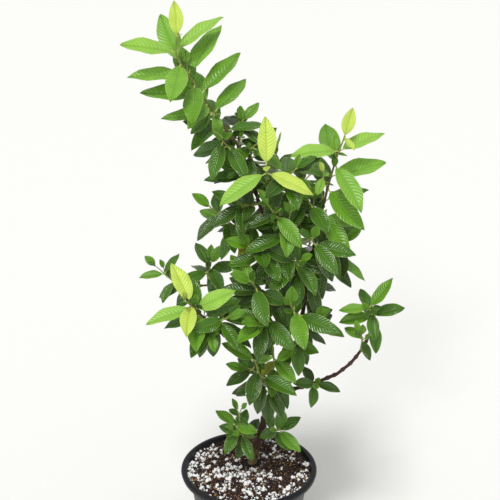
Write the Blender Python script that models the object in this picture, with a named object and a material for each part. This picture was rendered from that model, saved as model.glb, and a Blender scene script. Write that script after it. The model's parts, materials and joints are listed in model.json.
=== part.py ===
"""A young guava shrub in a nursery pot, modelled as separate closed solids.

Units are metres with +Z up. The origin is the centre of the pot's flat
underside, +Y runs to the back and +X to the right. Tables give millimetres,
which metres() turns into the script's own units.

The plant is grown by one rule. Limbs are tapering tubes. Each mass of leaves
is one stem with side shoots, and opposite pairs of leaves stand along every
shoot, each pair turned a quarter from the last. A leaf that would leave its
mass's own space, or touch a limb or another leaf, is aimed again and at last
left out.
"""
import math
import random
from dataclasses import dataclass

import bmesh
import bpy
from mathutils import Matrix, Vector
from mathutils.bvhtree import BVHTree

MM = 0.001
GAP = 0.3 * MM

# Pot: a moulded tub with a skirted rim.
POT_HEIGHT = 155 * MM
POT_RIM_RADIUS = 100 * MM
POT_MOUTH_RADIUS = 92 * MM
POT_NECK_RADIUS = 86.5 * MM
POT_NECK_HEIGHT = 138 * MM
POT_BASE_RADIUS = 66 * MM
POT_RIM_DEPTH = 9 * MM
POT_WALL = 1.8 * MM
POT_FLOOR = 3 * MM
POT_SIDES = 36
SOIL_LEVEL = 149 * MM

# Leaves: the sizes that every leaf shares, as shares of its own length.
LEAF_WIDTH = 0.385
TYPICAL_LEAF = 60 * MM
SLIMMING = 0.25
LEAF_THICKNESS = 0.024
PETIOLE = 0.08
ROOT_DEPTH = 0.25
TIP_INSET = 1.2 * MM
PETIOLE_HALF_WIDTH = 1.1 * MM
PETIOLE_HALF_THICKNESS = 0.8 * MM
BLADE_STATIONS = (0.33, 0.71)
SMALL_LEAF = 34 * MM
SMALL_STATIONS = (0.5,)
FOLD = math.radians(5)
LEAF_CLEARANCE = 0.5 * MM
FLAT_ANGLE = math.radians(1.5)
AIM_TRIES = 12

# How a leaf is held, from the youngest pair at a shoot's tip to the oldest.
SPREAD = math.radians(62)
FACE_TILT = math.radians(64)
BACK_TILT = math.radians(20)
TIP_CROWDING = 0.90
QUARTER_TURN = math.radians(90)

LIMB_SIDES = 7
LIMB_STATION = 22 * MM
SHOOT_STATION = 28 * MM
STOUT_SHOOT = 1.6 * MM
ROOT_FLARE = 1.2 * MM
ROOT_FLARE_HEIGHT = 9 * MM

# Base colours, as linear red, green and blue.
PLASTIC_BLACK = (0.012, 0.012, 0.013)
SOIL_BROWN = (0.07, 0.04, 0.025)
BARK = (0.10, 0.035, 0.018)
LEAF_GREEN = (0.09, 0.25, 0.03)

UP = Vector((0, 0, 1))
SIDEWAYS = Vector((1, 0, 0))
LIGHT = Vector((0.05, -0.62, 0.78))


def metres(point):
    """A table's point, from millimetres to metres."""
    return Vector(point) * MM


@dataclass(frozen=True)
class Limb:
    """The trunk or a bough: one tapering limb that leafy shoots grow on from."""

    name: str
    parent: str
    at: float
    via: tuple
    girth: tuple
    flare: float = 0.0


@dataclass(frozen=True)
class Shoot:
    """A leafy shoot. The first shoot of a mass is its stem; the rest branch from it."""

    name: str
    mass: str
    parent: str
    at: float
    via: tuple
    pairs: int
    leaf: float
    roll: float = 0.0
    bare: float = 0.12
    girth: tuple = (1.6, 0.8)
    rise: float = 28.0
    sag: float = -30.0
    pull: float = 0.75
    faces: int = 1
    tip: float = 0.56
    splay: tuple = (16, 34)
    tips: tuple = (1, 0.6)
    aged: float = 0.82


LIMBS = (
    Limb("trunk", "", 0.0, ((4.5, 18, 149.3), (11, 16, 180), (22, 12, 223), (33, 8, 262),
                            (45.5, 5, 312)), (5.0, 4.3), ROOT_FLARE),
    Limb("leader_right", "trunk", 0.97, ((62, -4, 344), (70, -10, 376), (74, -14, 408)),
         (4.1, 3.5)),
    Limb("leader_left", "trunk", 0.95, ((55, 9, 350), (52, 12, 417), (37, 10, 485),
                                        (19, 0, 545)), (3.7, 2.6)),
    Limb("arch_lower", "trunk", 0.70, ((50, 0, 278), (90, -14, 299), (124, -20, 318)), (2.9, 2.3)),
    Limb("arch_upper", "arch_lower", 1.0, ((144, -21, 338), (160, -20, 363), (171, -16, 388)),
         (2.3, 1.8)),
    Limb("bough_left", "trunk", 0.82, ((18, -20, 334), (-4, -40, 363), (-33, -60, 397),
                                       (-52, -70, 420)), (3.0, 2.0)),
    Limb("bough_far_left", "leader_left", 0.36, ((10, 42, 400), (-50, 62, 418)), (2.6, 1.7)),
    Limb("bough_back", "leader_left", 0.22, ((60, 40, 392), (72, 66, 430)), (2.6, 1.8)),
    Limb("bough_back_high", "leader_left", 0.62, ((42, 36, 505), (40, 52, 530)), (2.4, 1.7)),
    Limb("bough_crown", "leader_left", 0.70, ((34, -12, 535), (27, -28, 570)), (2.4, 1.8)),
)

SHOOTS = (
    Shoot("plume", "mass_plume", "leader_left", 1.0,
          ((-8, -5, 631), (-38, -5, 677), (-71, 0, 726), (-91, 0, 758), (-91, 0, 784)),
          18, 92, 108, 0.03, (2.3, 1.0), 36, -48, tip=0.51, splay=(12, 70), tips=(1, 0.45),
          aged=0.5),
    Shoot("plume_front", "mass_plume", "plume", 0.54, ((-45, -26, 692), (-42, -40, 692)), 2, 48, 70, 0.4,
          rise=-20, sag=-60),
    Shoot("plume_left", "mass_plume", "plume", 0.30, ((-32, -20, 652), (-34, -32, 662)), 4, 66, 30, 0.2,
          sag=-70),
    Shoot("plume_right", "mass_plume", "plume", 0.36, ((-14, 12, 660), (-8, 18, 672)), 4, 62, 40, 0.2,
          rise=0, sag=-50),
    Shoot("plume_low", "mass_plume", "plume", 0.14, ((-4, -14, 598), (-16, -18, 616)), 5, 64, 40, 0.2,
          sag=-70),
    Shoot("plume_side", "mass_plume", "plume", 0.24, ((4, -10, 640), (12, -16, 650)), 4, 62, 60, 0.2,
          rise=10, sag=-60),

    Shoot("crown", "mass_crown", "bough_crown", 1.0, ((23, -42, 602), (22, -56, 632)),
          6, 84, 94, 0.05, (1.8, 0.9), -30, -64, tip=0.72, splay=(20, 60), tips=(1, 0.32)),
    Shoot("crown_right", "mass_crown", "crown", 0.22, ((46, -34, 606), (60, -38, 622)), 4, 64, 30, 0.3),
    Shoot("crown_left", "mass_crown", "crown", 0.06, ((-2, -36, 572), (-16, -40, 578)), 4, 64, 20, 0.3),

    Shoot("right", "mass_right", "leader_right", 1.0,
          ((81, -15, 462), (89, -10, 510), (103, -5, 580), (114, 0, 621), (125, 0, 655)),
          15, 88, 114, 0.04, (3.0, 1.0), 18, -56, tip=0.46, splay=(8, 104), tips=(1, 0.75),
          aged=0.6),
    Shoot("right_bud", "mass_right", "right", 0.74, ((98, -16, 600), (97, -20, 613)), 2, 30, 0, 0.5,
          (1.2, 0.7)),
    Shoot("right_low", "mass_right", "right", 0.30, ((110, 0, 486), (128, 6, 506)), 4, 66, 45, 0.2),
    Shoot("right_front", "mass_right", "right", 0.42, ((86, -42, 520), (82, -56, 534)), 4, 68, 45, 0.3),
    Shoot("right_inner", "mass_right", "right", 0.52, ((86, -14, 558), (78, -20, 574)), 4, 62, 45, 0.2),

    Shoot("middle", "mass_middle", "leader_left", 0.55,
          ((48, -26, 492), (48, -40, 530), (54, -46, 566)), 9, 70, 30, 0.1, (1.9, 0.9), 20, -50),
    Shoot("middle_left", "mass_middle", "middle", 0.30, ((16, -46, 512), (0, -52, 522)), 5, 64, 60, 0.2),
    Shoot("middle_right", "mass_middle", "middle", 0.22, ((62, -56, 500), (66, -70, 508)), 4, 64, 20, 0.3),
    Shoot("middle_top", "mass_middle", "middle", 0.60, ((36, -50, 560), (25, -54, 578)), 4, 64, 70, 0.2,
          rise=0, sag=-70),

    Shoot("front", "mass_front", "leader_left", 0.38,
          ((40, -26, 432), (18, -62, 458), (2, -86, 486)), 8, 68, 50, 0.15, (2.0, 0.9), 20, -45),
    Shoot("front_low", "mass_front", "front", 0.35, ((22, -78, 426), (14, -96, 432)), 4, 66, 0, 0.3),

    Shoot("inner", "mass_inner", "leader_right", 0.62,
          ((70, -40, 412), (60, -66, 434), (54, -80, 452)), 6, 68, 20, 0.12, (1.9, 0.9), 20, -50),
    Shoot("inner_right", "mass_inner", "inner", 0.16, ((84, -44, 406), (92, -50, 418)), 3, 58, 45, 0.3),
    Shoot("inner_low", "mass_inner", "inner", 0.12, ((62, -52, 380), (58, -62, 378)), 3, 56, 10, 0.3),

    Shoot("left", "mass_left", "bough_left", 1.0, ((-67, -87, 444), (-80, -106, 470)),
          5, 72, 225, 0.05, (2.0, 1.0), 30, -25, pull=0.35, tip=0.24),
    Shoot("left_inner", "mass_left", "left", 0.05, ((-40, -90, 430), (-26, -98, 442)), 5, 64, 30, 0.2),
    Shoot("left_under", "mass_left", "left", 0.10, ((-54, -88, 424), (-50, -98, 420)), 3, 56, 60, 0.3),

    Shoot("far_left", "mass_far_left", "bough_far_left", 1.0, ((-100, 74, 414), (-136, 82, 440)),
          6, 44, 20, 0.06, (1.7, 0.7), 20, -25),
    Shoot("far_left_up", "mass_far_left", "far_left", 0.10, ((-58, 60, 440), (-54, 54, 456)),
          4, 56, 30, 0.2),

    Shoot("upper_left", "mass_upper_left", "leader_left", 0.80,
          ((-9, -10, 527), (-40, -19, 554), (-51, -22, 565)), 6, 56, 30, 0.25, (1.6, 0.8), 15, -40),

    Shoot("low_front", "mass_low_front", "trunk", 0.74, ((30, -32, 298), (14, -68, 344), (8, -80, 370)),
          6, 62, 0, 0.25, (1.8, 0.9), 18, -50, tip=0.8, splay=(54, 62), tips=(1, 0.66)),
    Shoot("low_front_left", "mass_low_front", "low_front", 0.45, ((6, -52, 340), (-6, -58, 346)),
          4, 52, 0, 0.2),
    Shoot("low_front_up", "mass_low_front", "low_front", 0.30, ((34, -44, 352), (32, -48, 374)),
          4, 60, 45, 0.2),

    Shoot("arch_mid", "mass_arch_mid", "arch_lower", 0.60, ((93, -22, 303), (94, -27, 306)),
          3, 44, 45, 0.2, (1.3, 0.9), 20, -30, pull=0.4),
    Shoot("arch_tip", "mass_arch_tip", "arch_upper", 1.0, ((170, -18, 406), (164, -22, 421)),
          4, 56, 10, 0.1, (1.7, 0.9), 10, -30, tip=0.9, splay=(58, 68), tips=(1, 0.9)),
    Shoot("arch_twig", "mass_arch_twig", "arch_upper", 0.55, ((155, -34, 378), (153, -40, 388)),
          2, 38, 30, 0.4, (1.2, 0.8), 20, -20),

    Shoot("low_left", "mass_low_left", "trunk", 0.30, ((0, -6, 206), (-15, -26, 229), (-19, -32, 243)),
          4, 46, 0, 0.3, (1.5, 0.8), 0, -20, tip=0.86, splay=(80, 80), tips=(1, 1)),
    Shoot("low_left_spur", "mass_low_left", "low_left", 0.70, ((-13, -36, 262), (-10, -44, 276)),
          2, 26, 40, 0.3, (1.2, 0.7), 10, -20),
    Shoot("low_right", "mass_low_right", "trunk", 0.34, ((33, 4, 212), (45, -11, 222)),
          3, 52, 90, 0.35, (1.4, 0.8), 10, -20, pull=0.1, tip=0.86, splay=(50, 50), tips=(1, 1)),

    Shoot("back", "mass_back", "bough_back", 1.0, ((84, 84, 460), (92, 90, 492)),
          6, 66, 20, 0.1, (1.8, 0.9), 26, -45, faces=-1),
    Shoot("back_low", "mass_back", "back", 0.08, ((62, 90, 430), (46, 102, 442)), 4, 60, 50, 0.2, faces=-1),
    Shoot("back_high", "mass_back_high", "bough_back_high", 1.0, ((40, 76, 570), (38, 86, 606)),
          7, 66, 60, 0.05, (1.7, 0.9), 28, -45, faces=-1),
    Shoot("back_high_side", "mass_back_high", "back_high", 0.22, ((68, 72, 562), (84, 76, 578)),
          4, 60, 20, 0.3, faces=-1),
)


class Path:
    """A smooth line through a few points, with a radius that tapers along it."""

    FINE = 14

    def __init__(self, points, radius_foot, radius_tip, flare=0.0):
        self.points = self._smooth(points)
        self.marks = [0.0]
        for a, b in zip(self.points, self.points[1:]):
            self.marks.append(self.marks[-1] + (b - a).length)
        self.length = self.marks[-1]
        self.radius_foot = radius_foot
        self.radius_tip = radius_tip
        self.flare = flare

    def _smooth(self, points):
        """Catmull-Rom samples through the points, with both ends run straight on."""
        ends = [points[0] * 2 - points[1], *points, points[-1] * 2 - points[-2]]
        samples = []
        for i in range(1, len(ends) - 2):
            p0, p1, p2, p3 = ends[i - 1:i + 3]
            for step in range(self.FINE):
                t = step / self.FINE
                samples.append(0.5 * (2 * p1 + (p2 - p0) * t + (2 * p0 - 5 * p1 + 4 * p2 - p3) * t * t
                                      + (3 * p1 - p0 - 3 * p2 + p3) * t * t * t))
        return samples + [points[-1].copy()]

    def at(self, share):
        """The point and the direction at a share of the length."""
        distance = min(max(share, 0.0), 1.0) * self.length
        i = 1
        while i < len(self.marks) - 1 and self.marks[i] < distance:
            i += 1
        a, b = self.points[i - 1], self.points[i]
        span = self.marks[i] - self.marks[i - 1]
        return a.lerp(b, (distance - self.marks[i - 1]) / span), (b - a).normalized()

    def radius(self, share):
        """The radius there, with the flare that dies away above the foot."""
        taper = self.radius_foot + (self.radius_tip - self.radius_foot) * share
        return taper + self.flare * math.exp(-share * self.length / ROOT_FLARE_HEIGHT)

    def shares(self, station):
        """Evenly spaced shares of the length, with closer ones in the root flare."""
        count = max(2, round(self.length / station))
        even = [i / count for i in range(count + 1)]
        if not self.flare:
            return even
        close = [ROOT_FLARE_HEIGHT * k / self.length for k in (0.45, 1.0, 1.8)]
        return sorted([share for share in even if share == 0 or share > close[-1] + 0.02] + close)


def tube(path, sides, shares, swell=0.0, overrun=0.0):
    """Points and faces of a closed tapering tube; a flared foot is cut level."""
    rings = []
    _, along = path.at(0)
    out = along.orthogonal().normalized()
    for share in shares:
        point, direction = path.at(share)
        out = (out - direction * out.dot(direction)).normalized()
        aside = direction.cross(out)
        if share == shares[-1]:
            point = point + direction * overrun
        radius = path.radius(share) + swell
        turns = [2 * math.pi * k / sides for k in range(sides)]
        rings.append([point + (out * math.cos(a) + aside * math.sin(a)) * radius for a in turns])
    if path.flare:
        for corner in rings[0]:
            corner.z = path.points[0].z - swell
    return skin(rings)


def skin(rings, tip=None):
    """Join rings of equal count into a closed surface, with flat ends or a pointed tip."""
    points = [point for ring in rings for point in ring]
    count = len(rings[0])
    faces = [tuple(reversed(range(count)))]
    for row in range(len(rings) - 1):
        for k in range(count):
            a, b = row * count + k, row * count + (k + 1) % count
            faces.append((a, b, b + count, a + count))
    last = (len(rings) - 1) * count
    if tip is None:
        faces.append(tuple(range(last, last + count)))
    else:
        points.append(tip)
        faces += [(last + k, last + (k + 1) % count, len(points) - 1) for k in range(count)]
    return points, faces


@dataclass
class Leaf:
    """One leaf: where it starts, how it points and how large it is."""

    mass: str
    foot: Vector
    along: Vector
    face: Vector
    length: float
    droop: float
    width: float

    def midline(self, share):
        """The point on the arching midrib, and the direction and face normal there."""
        bend = self.droop * share
        reach = math.sin(bend) / self.droop
        fall = (1 - math.cos(bend)) / self.droop
        point = self.foot + (self.along * reach - self.face * fall) * self.length
        direction = self.along * math.cos(bend) - self.face * math.sin(bend)
        normal = self.face * math.cos(bend) + self.along * math.sin(bend)
        return point, direction, normal

    def half_width(self, share):
        """Half the blade's width: rounded at its foot and drawn out to a point."""
        blade = (share - PETIOLE) / (1 - PETIOLE)
        if blade <= 0:
            return PETIOLE_HALF_WIDTH
        outline = math.sin(math.pi * blade ** 0.88) ** 0.85
        return max(0.5 * self.width * self.length * outline, 0.2 * PETIOLE_HALF_WIDTH)

    def solid(self, swell=0.0, first=0.0):
        """Points and faces of the leaf as a closed blade, flat above with a keel below."""
        stations = BLADE_STATIONS if self.length > SMALL_LEAF else SMALL_STATIONS
        rings = []
        for share in (first, *stations):
            point, direction, normal = self.midline(share)
            aside = direction.cross(normal)
            if share < PETIOLE:
                half, rise, thick = PETIOLE_HALF_WIDTH, PETIOLE_HALF_THICKNESS, PETIOLE_HALF_THICKNESS
            else:
                half = self.half_width(share)
                rise = half * math.tan(FOLD)
                thick = LEAF_THICKNESS * self.length - rise
            rings.append([point - aside * (half + swell) + normal * (rise + swell),
                          point - normal * (thick + swell),
                          point + aside * (half + swell) + normal * (rise + swell)])
        tip, direction, _ = self.midline(1.0)
        return skin(rings, tip + direction * swell)


def grown_path(parent, part):
    """The path of a limb or shoot that starts on its parent's axis."""
    foot, _ = parent.at(part.at)
    return Path([foot, *[metres(point) for point in part.via]], part.girth[0] * MM, part.girth[1] * MM)


def skeleton():
    """The path of each limb and shoot, by name."""
    paths = {}
    for limb in LIMBS:
        if limb.parent:
            paths[limb.name] = grown_path(paths[limb.parent], limb)
        else:
            points = [metres(point) for point in limb.via]
            paths[limb.name] = Path(points, limb.girth[0] * MM, limb.girth[1] * MM, limb.flare)
    for shoot in SHOOTS:
        paths[shoot.name] = grown_path(paths[shoot.parent], shoot)
    return paths


def aimed_leaf(shoot, path, rank, side, attempt):
    """The leaf on one side of a pair, counted from the tip; later attempts swing it away."""
    dice = random.Random(f"{shoot.name} {rank} {side} {attempt}")
    share = 1.0 if shoot.pairs == 1 else 1 - (1 - shoot.bare) * (rank / shoot.pairs) ** TIP_CROWDING
    foot, direction = path.at(share - (TIP_INSET / path.length if rank == 0 else 0))
    sweep = path.at(1.0)[0] - path.at(0.0)[0]
    level = sweep.normalized().cross(UP)
    first = level if level.length > 0.66 else SIDEWAYS
    first = (first - direction * first.dot(direction)).normalized()
    second = direction.cross(first)
    age = rank / max(shoot.pairs - 1, 1)
    turn = math.radians(shoot.roll) + QUARTER_TURN * rank
    turn += math.radians(dice.uniform(-9, 9) + attempt * dice.uniform(-8, 8)) + math.pi * side
    outward = first * math.cos(turn) + second * math.sin(turn)
    spread = SPREAD
    lift = math.radians(shoot.rise + (shoot.sag - shoot.rise) * age + dice.uniform(-7, 7))
    lift += math.radians(attempt * dice.uniform(-7, 7))
    pull = shoot.pull
    size = 1.0 - (1.0 - shoot.aged) * age
    droop = math.radians(14 + 22 * age + dice.uniform(-4, 6))
    if rank == 0:
        spread, pull, droop = math.radians(shoot.splay[side]), 0.1, math.radians(12)
        size = shoot.tip * shoot.tips[side]
    elif rank == 1:
        size = 0.84
    size *= dice.uniform(0.93, 1.05) * (1 - 0.02 * attempt)
    along = direction * math.cos(spread) + outward * math.sin(spread)
    level_part = Vector((along.x, along.y, 0))
    if level_part.length < 0.2:
        level_part = Vector((outward.x, outward.y, 0))
    own_lift = math.asin(max(-1, min(1, along.z)))
    lift = own_lift + (lift - own_lift) * pull + 0.5 * droop
    rear = shoot.faces * level_part.normalized().y
    lift += (BACK_TILT if rear > 0 else FACE_TILT) * rear * pull
    along = level_part.normalized() * math.cos(lift) + UP * math.sin(lift)
    lean = Vector((LIGHT.x, LIGHT.y * shoot.faces, LIGHT.z)) + direction * 0.25
    lean = Matrix.Rotation(math.radians(dice.uniform(-16, 16)), 3, along) @ lean
    face = (lean - along * lean.dot(along)).normalized()
    length = shoot.leaf * MM * size
    width = LEAF_WIDTH * dice.uniform(0.92, 1.08) * (TYPICAL_LEAF / length) ** SLIMMING
    foot = foot + along * path.radius(share) * ROOT_DEPTH
    return Leaf(shoot.mass, foot, along, face, length, droop, width)


def surface_tree(points, faces):
    """A search tree over a surface, for touching tests."""
    return BVHTree.FromPolygons(points, faces)


def nearest_mass(point, stems):
    """The mass whose stems pass closest to the point."""
    return min(stems, key=lambda mass: min((point - other).length_squared for other in stems[mass]))


def grow_leaves(paths):
    """Every leaf that keeps to its mass's space and clears the limbs, stems and other leaves."""
    stems = {}
    for shoot in SHOOTS:
        samples = [paths[shoot.name].at(k / 12)[0] for k in range(13)]
        stems.setdefault(shoot.mass, []).extend(samples)
    wood = [surface_tree(*tube(path, 6, path.shares(LIMB_STATION), LEAF_CLEARANCE))
            for path in paths.values()]
    leaves, blades = [], []
    for rank in range(max(shoot.pairs for shoot in SHOOTS)):
        for shoot in SHOOTS:
            if rank >= shoot.pairs:
                continue
            for side in (0, 1):
                for attempt in range(AIM_TRIES):
                    leaf = aimed_leaf(shoot, paths[shoot.name], rank, side, attempt)
                    if nearest_mass(leaf.midline(0.55)[0], stems) != leaf.mass:
                        continue
                    blade = surface_tree(*leaf.solid(LEAF_CLEARANCE, PETIOLE + 0.05))
                    if any(blade.overlap(other) for other in wood + blades):
                        continue
                    leaves.append(leaf)
                    blades.append(blade)
                    break
    return leaves


def make_object(name, points, faces):
    """A new object with its faces turned outwards."""
    mesh = bpy.data.meshes.new(name)
    mesh.from_pydata([tuple(point) for point in points], [], faces)
    mesh.validate()
    form = bmesh.new()
    form.from_mesh(mesh)
    bmesh.ops.recalc_face_normals(form, faces=form.faces)
    form.to_mesh(mesh)
    form.free()
    thing = bpy.data.objects.new(name, mesh)
    bpy.context.scene.collection.objects.link(thing)
    return thing


def remove(thing):
    """Take an object and its mesh out of the file."""
    mesh = thing.data
    bpy.data.objects.remove(thing)
    bpy.data.meshes.remove(mesh)


def largest_body(mesh):
    """Drop loose scraps, merge what is nearly flat and cut every face into triangles."""
    form = bmesh.new()
    form.from_mesh(mesh)
    islands, seen = [], set()
    for start in form.verts:
        if start in seen:
            continue
        island, front = [], [start]
        seen.add(start)
        while front:
            vert = front.pop()
            island.append(vert)
            for edge in vert.link_edges:
                other = edge.other_vert(vert)
                if other not in seen:
                    seen.add(other)
                    front.append(other)
        islands.append(island)
    islands.sort(key=len, reverse=True)
    scraps = [vert for island in islands[1:] for vert in island]
    bmesh.ops.delete(form, geom=scraps, context="VERTS")
    bmesh.ops.dissolve_limit(form, angle_limit=FLAT_ANGLE, verts=form.verts, edges=form.edges)
    bmesh.ops.triangulate(form, faces=form.faces)
    form.to_mesh(mesh)
    form.free()


def apply_boolean(thing, operation, others):
    """Apply one Boolean with a collection of objects, then remove them."""
    group = bpy.data.collections.new(f"{thing.name}_tools")
    for other in others:
        group.objects.link(other)
    change = thing.modifiers.new("change", "BOOLEAN")
    change.operation = operation
    change.operand_type = "COLLECTION"
    change.collection = group
    change.solver = "EXACT"
    graph = bpy.context.evaluated_depsgraph_get()
    changed = bpy.data.meshes.new_from_object(thing.evaluated_get(graph))
    thing.modifiers.clear()
    old = thing.data
    thing.data = changed
    bpy.data.meshes.remove(old)
    bpy.data.collections.remove(group)
    for other in others:
        remove(other)
    largest_body(thing.data)


def finish(thing, name, colour, roughness, smooth_angle=35):
    """Name a finished solid and give it its own material."""
    thing.name = name
    thing.data.name = name
    surface = bpy.data.materials.new(f"{name}_finish")
    surface.use_nodes = True
    shader = surface.node_tree.nodes["Principled BSDF"]
    shader.inputs["Base Color"].default_value = (*colour, 1)
    shader.inputs["Roughness"].default_value = roughness
    shader.inputs["Metallic"].default_value = 0
    thing.data.materials.clear()
    thing.data.materials.append(surface)
    thing.data.shade_smooth()
    thing.data.set_sharp_from_angle(angle=math.radians(smooth_angle))


def cut_clear(thing, parent_path, sides):
    """Trim a piece so that it starts just clear of the limb that carries it."""
    shares = parent_path.shares(LIMB_STATION)
    cutter = make_object("cutter", *tube(parent_path, sides, shares, GAP, GAP))
    apply_boolean(thing, "DIFFERENCE", [cutter])


def make_limbs(paths):
    """The trunk and the boughs, each trimmed clear of the limbs it meets."""
    for number, limb in enumerate(LIMBS):
        path = paths[limb.name]
        thing = make_object(limb.name, *tube(path, LIMB_SIDES, path.shares(LIMB_STATION)))
        neighbours = [other for other in LIMBS[:number] if limbs_meet(limb, other)]
        for other in neighbours:
            cut_clear(thing, paths[other.name], LIMB_SIDES)
        finish(thing, limb.name, BARK, 0.7)


def limbs_meet(limb, other):
    """Whether a limb grows from another, or beside it from the same place."""
    beside = limb.parent == other.parent and abs(limb.at - other.at) < 0.1
    return limb.parent == other.name or beside


def make_masses(paths, leaves):
    """Each mass of leaves as one solid, fused from its stem, side shoots and leaves."""
    for mass in dict.fromkeys(shoot.mass for shoot in SHOOTS):
        shoots = [shoot for shoot in SHOOTS if shoot.mass == mass]
        pieces = []
        for shoot in shoots:
            path = paths[shoot.name]
            sides = 5 if path.radius_foot > STOUT_SHOOT else 3
            pieces.append(make_object(shoot.name, *tube(path, sides, path.shares(SHOOT_STATION))))
        stem = pieces[0]
        cut_clear(stem, paths[shoots[0].parent], LIMB_SIDES)
        for number, leaf in enumerate(leaf for leaf in leaves if leaf.mass == mass):
            pieces.append(make_object(f"leaf_{number}", *leaf.solid()))
        apply_boolean(stem, "UNION", pieces[1:])
        finish(stem, mass, LEAF_GREEN, 0.4, 50)


def pot_inner_radius(height):
    """The inside radius of the pot's tapering wall, which flares out at the mouth."""
    slope = (POT_NECK_RADIUS - POT_BASE_RADIUS) / POT_NECK_HEIGHT
    inside = POT_BASE_RADIUS - POT_WALL + slope * height
    mouth = POT_HEIGHT - 5 * MM
    shoulder = mouth - 10 * MM
    if height > shoulder:
        share = min((height - shoulder) / (mouth - shoulder), 1)
        start = POT_BASE_RADIUS - POT_WALL + slope * shoulder
        inside = start + (POT_MOUTH_RADIUS - start) * share
    return inside


def turned(name, profile, sides):
    """A closed solid turned about the vertical axis from a profile of radius and height."""
    rings = []
    for radius, height in profile:
        turns = [2 * math.pi * k / sides for k in range(sides)]
        rings.append([Vector((radius * math.cos(a), radius * math.sin(a), height)) for a in turns])
    points, faces = skin(rings)
    return make_object(name, points, faces)


def make_pot():
    """The pot: a tapering wall, a flat floor and a rim whose skirt hangs clear of the wall."""
    skirt_foot = POT_HEIGHT - POT_RIM_DEPTH
    lip = 4 * MM
    skirt_inside = POT_RIM_RADIUS - POT_WALL
    crook = POT_HEIGHT - 6 * MM
    outside = [
        (POT_BASE_RADIUS - 2 * MM, 0),
        (POT_BASE_RADIUS, 2.5 * MM),
        (POT_NECK_RADIUS, POT_NECK_HEIGHT),
        (POT_MOUTH_RADIUS + 1.6 * MM, crook),
        (skirt_inside - 0.6 * MM, crook),
        (skirt_inside - 0.6 * MM, skirt_foot),
        (POT_RIM_RADIUS - 1.2 * MM, skirt_foot),
        (POT_RIM_RADIUS, POT_HEIGHT - lip),
        (POT_RIM_RADIUS - 1.2 * MM, POT_HEIGHT - 1.2 * MM),
        (POT_RIM_RADIUS - lip, POT_HEIGHT),
        (POT_MOUTH_RADIUS + 2 * MM, POT_HEIGHT - 0.8 * MM),
    ]
    inside = [(pot_inner_radius(height), height)
              for height in (POT_HEIGHT - 5 * MM, POT_HEIGHT - 15 * MM, POT_FLOOR)]
    pot = turned("pot", outside + inside, POT_SIDES)
    largest_body(pot.data)
    finish(pot, "pot", PLASTIC_BLACK, 0.35)


def make_soil():
    """The potting mix: it fills the pot from the floor to a little below the mouth."""
    heights = (POT_FLOOR + GAP, POT_HEIGHT - 15 * MM, SOIL_LEVEL)
    profile = [(pot_inner_radius(height) - GAP, height) for height in heights]
    soil = turned("soil", profile, POT_SIDES)
    largest_body(soil.data)
    finish(soil, "soil", SOIL_BROWN, 0.95)


def main():
    for thing in list(bpy.data.objects):
        bpy.data.objects.remove(thing)
    paths = skeleton()
    make_pot()
    make_soil()
    make_limbs(paths)
    make_masses(paths, grow_leaves(paths))


main()
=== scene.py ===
"""Potted guava: a young shrub in a black nursery pot, grown leaf by leaf.

Units are metres with +Z up. The origin is the centre of the pot's flat underside,
+Y runs to the back and +X to the right. Tables give millimetres.

The plant is grown by one rule. Limbs taper along smooth paths. Each mass of leaves
is one stem with side shoots, and opposite pairs of leaves stand along every shoot,
each pair turned a quarter from the last. Small buds then break from some of the
leaf axils by the same rule. A leaf that would leave its mass's own space, or touch
a limb or another leaf, is aimed again and at last left out.
"""
import functools
import json
import math
import random
from dataclasses import dataclass, replace

import bpy
from bpy.props import FloatProperty, FloatVectorProperty, IntProperty, PointerProperty
from mathutils import Matrix, Vector, noise
from mathutils.bvhtree import BVHTree

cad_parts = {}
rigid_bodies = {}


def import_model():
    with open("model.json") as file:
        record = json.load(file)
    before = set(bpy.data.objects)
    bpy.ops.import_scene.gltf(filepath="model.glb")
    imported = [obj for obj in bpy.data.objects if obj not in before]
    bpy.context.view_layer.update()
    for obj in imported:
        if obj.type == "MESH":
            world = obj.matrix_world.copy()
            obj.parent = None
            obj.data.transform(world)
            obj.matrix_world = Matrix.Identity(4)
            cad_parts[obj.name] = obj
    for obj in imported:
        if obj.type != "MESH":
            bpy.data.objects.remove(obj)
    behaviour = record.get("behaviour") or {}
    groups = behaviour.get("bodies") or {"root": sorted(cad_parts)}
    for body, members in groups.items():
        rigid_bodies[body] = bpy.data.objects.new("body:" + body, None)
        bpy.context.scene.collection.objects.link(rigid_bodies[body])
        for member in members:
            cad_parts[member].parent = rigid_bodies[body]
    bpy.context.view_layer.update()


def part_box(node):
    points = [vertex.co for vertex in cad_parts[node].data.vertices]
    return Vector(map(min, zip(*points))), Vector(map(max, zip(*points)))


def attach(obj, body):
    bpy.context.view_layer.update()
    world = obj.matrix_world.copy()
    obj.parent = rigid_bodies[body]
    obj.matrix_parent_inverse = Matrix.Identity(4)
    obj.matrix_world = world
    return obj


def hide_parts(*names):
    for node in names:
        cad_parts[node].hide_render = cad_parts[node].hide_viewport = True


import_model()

bl_info = {
    "name": "Potted Guava",
    "version": (1, 0, 0),
    "blender": (4, 5, 0),
    "location": "3D View > Sidebar > Guava",
    "description": "Builds a young guava shrub in a nursery pot, leaf by leaf",
    "category": "Add Mesh",
}

BODY = "root"
MM = 0.001

POT_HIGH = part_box("pot")[1]
SOIL_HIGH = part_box("soil")[1]

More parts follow.
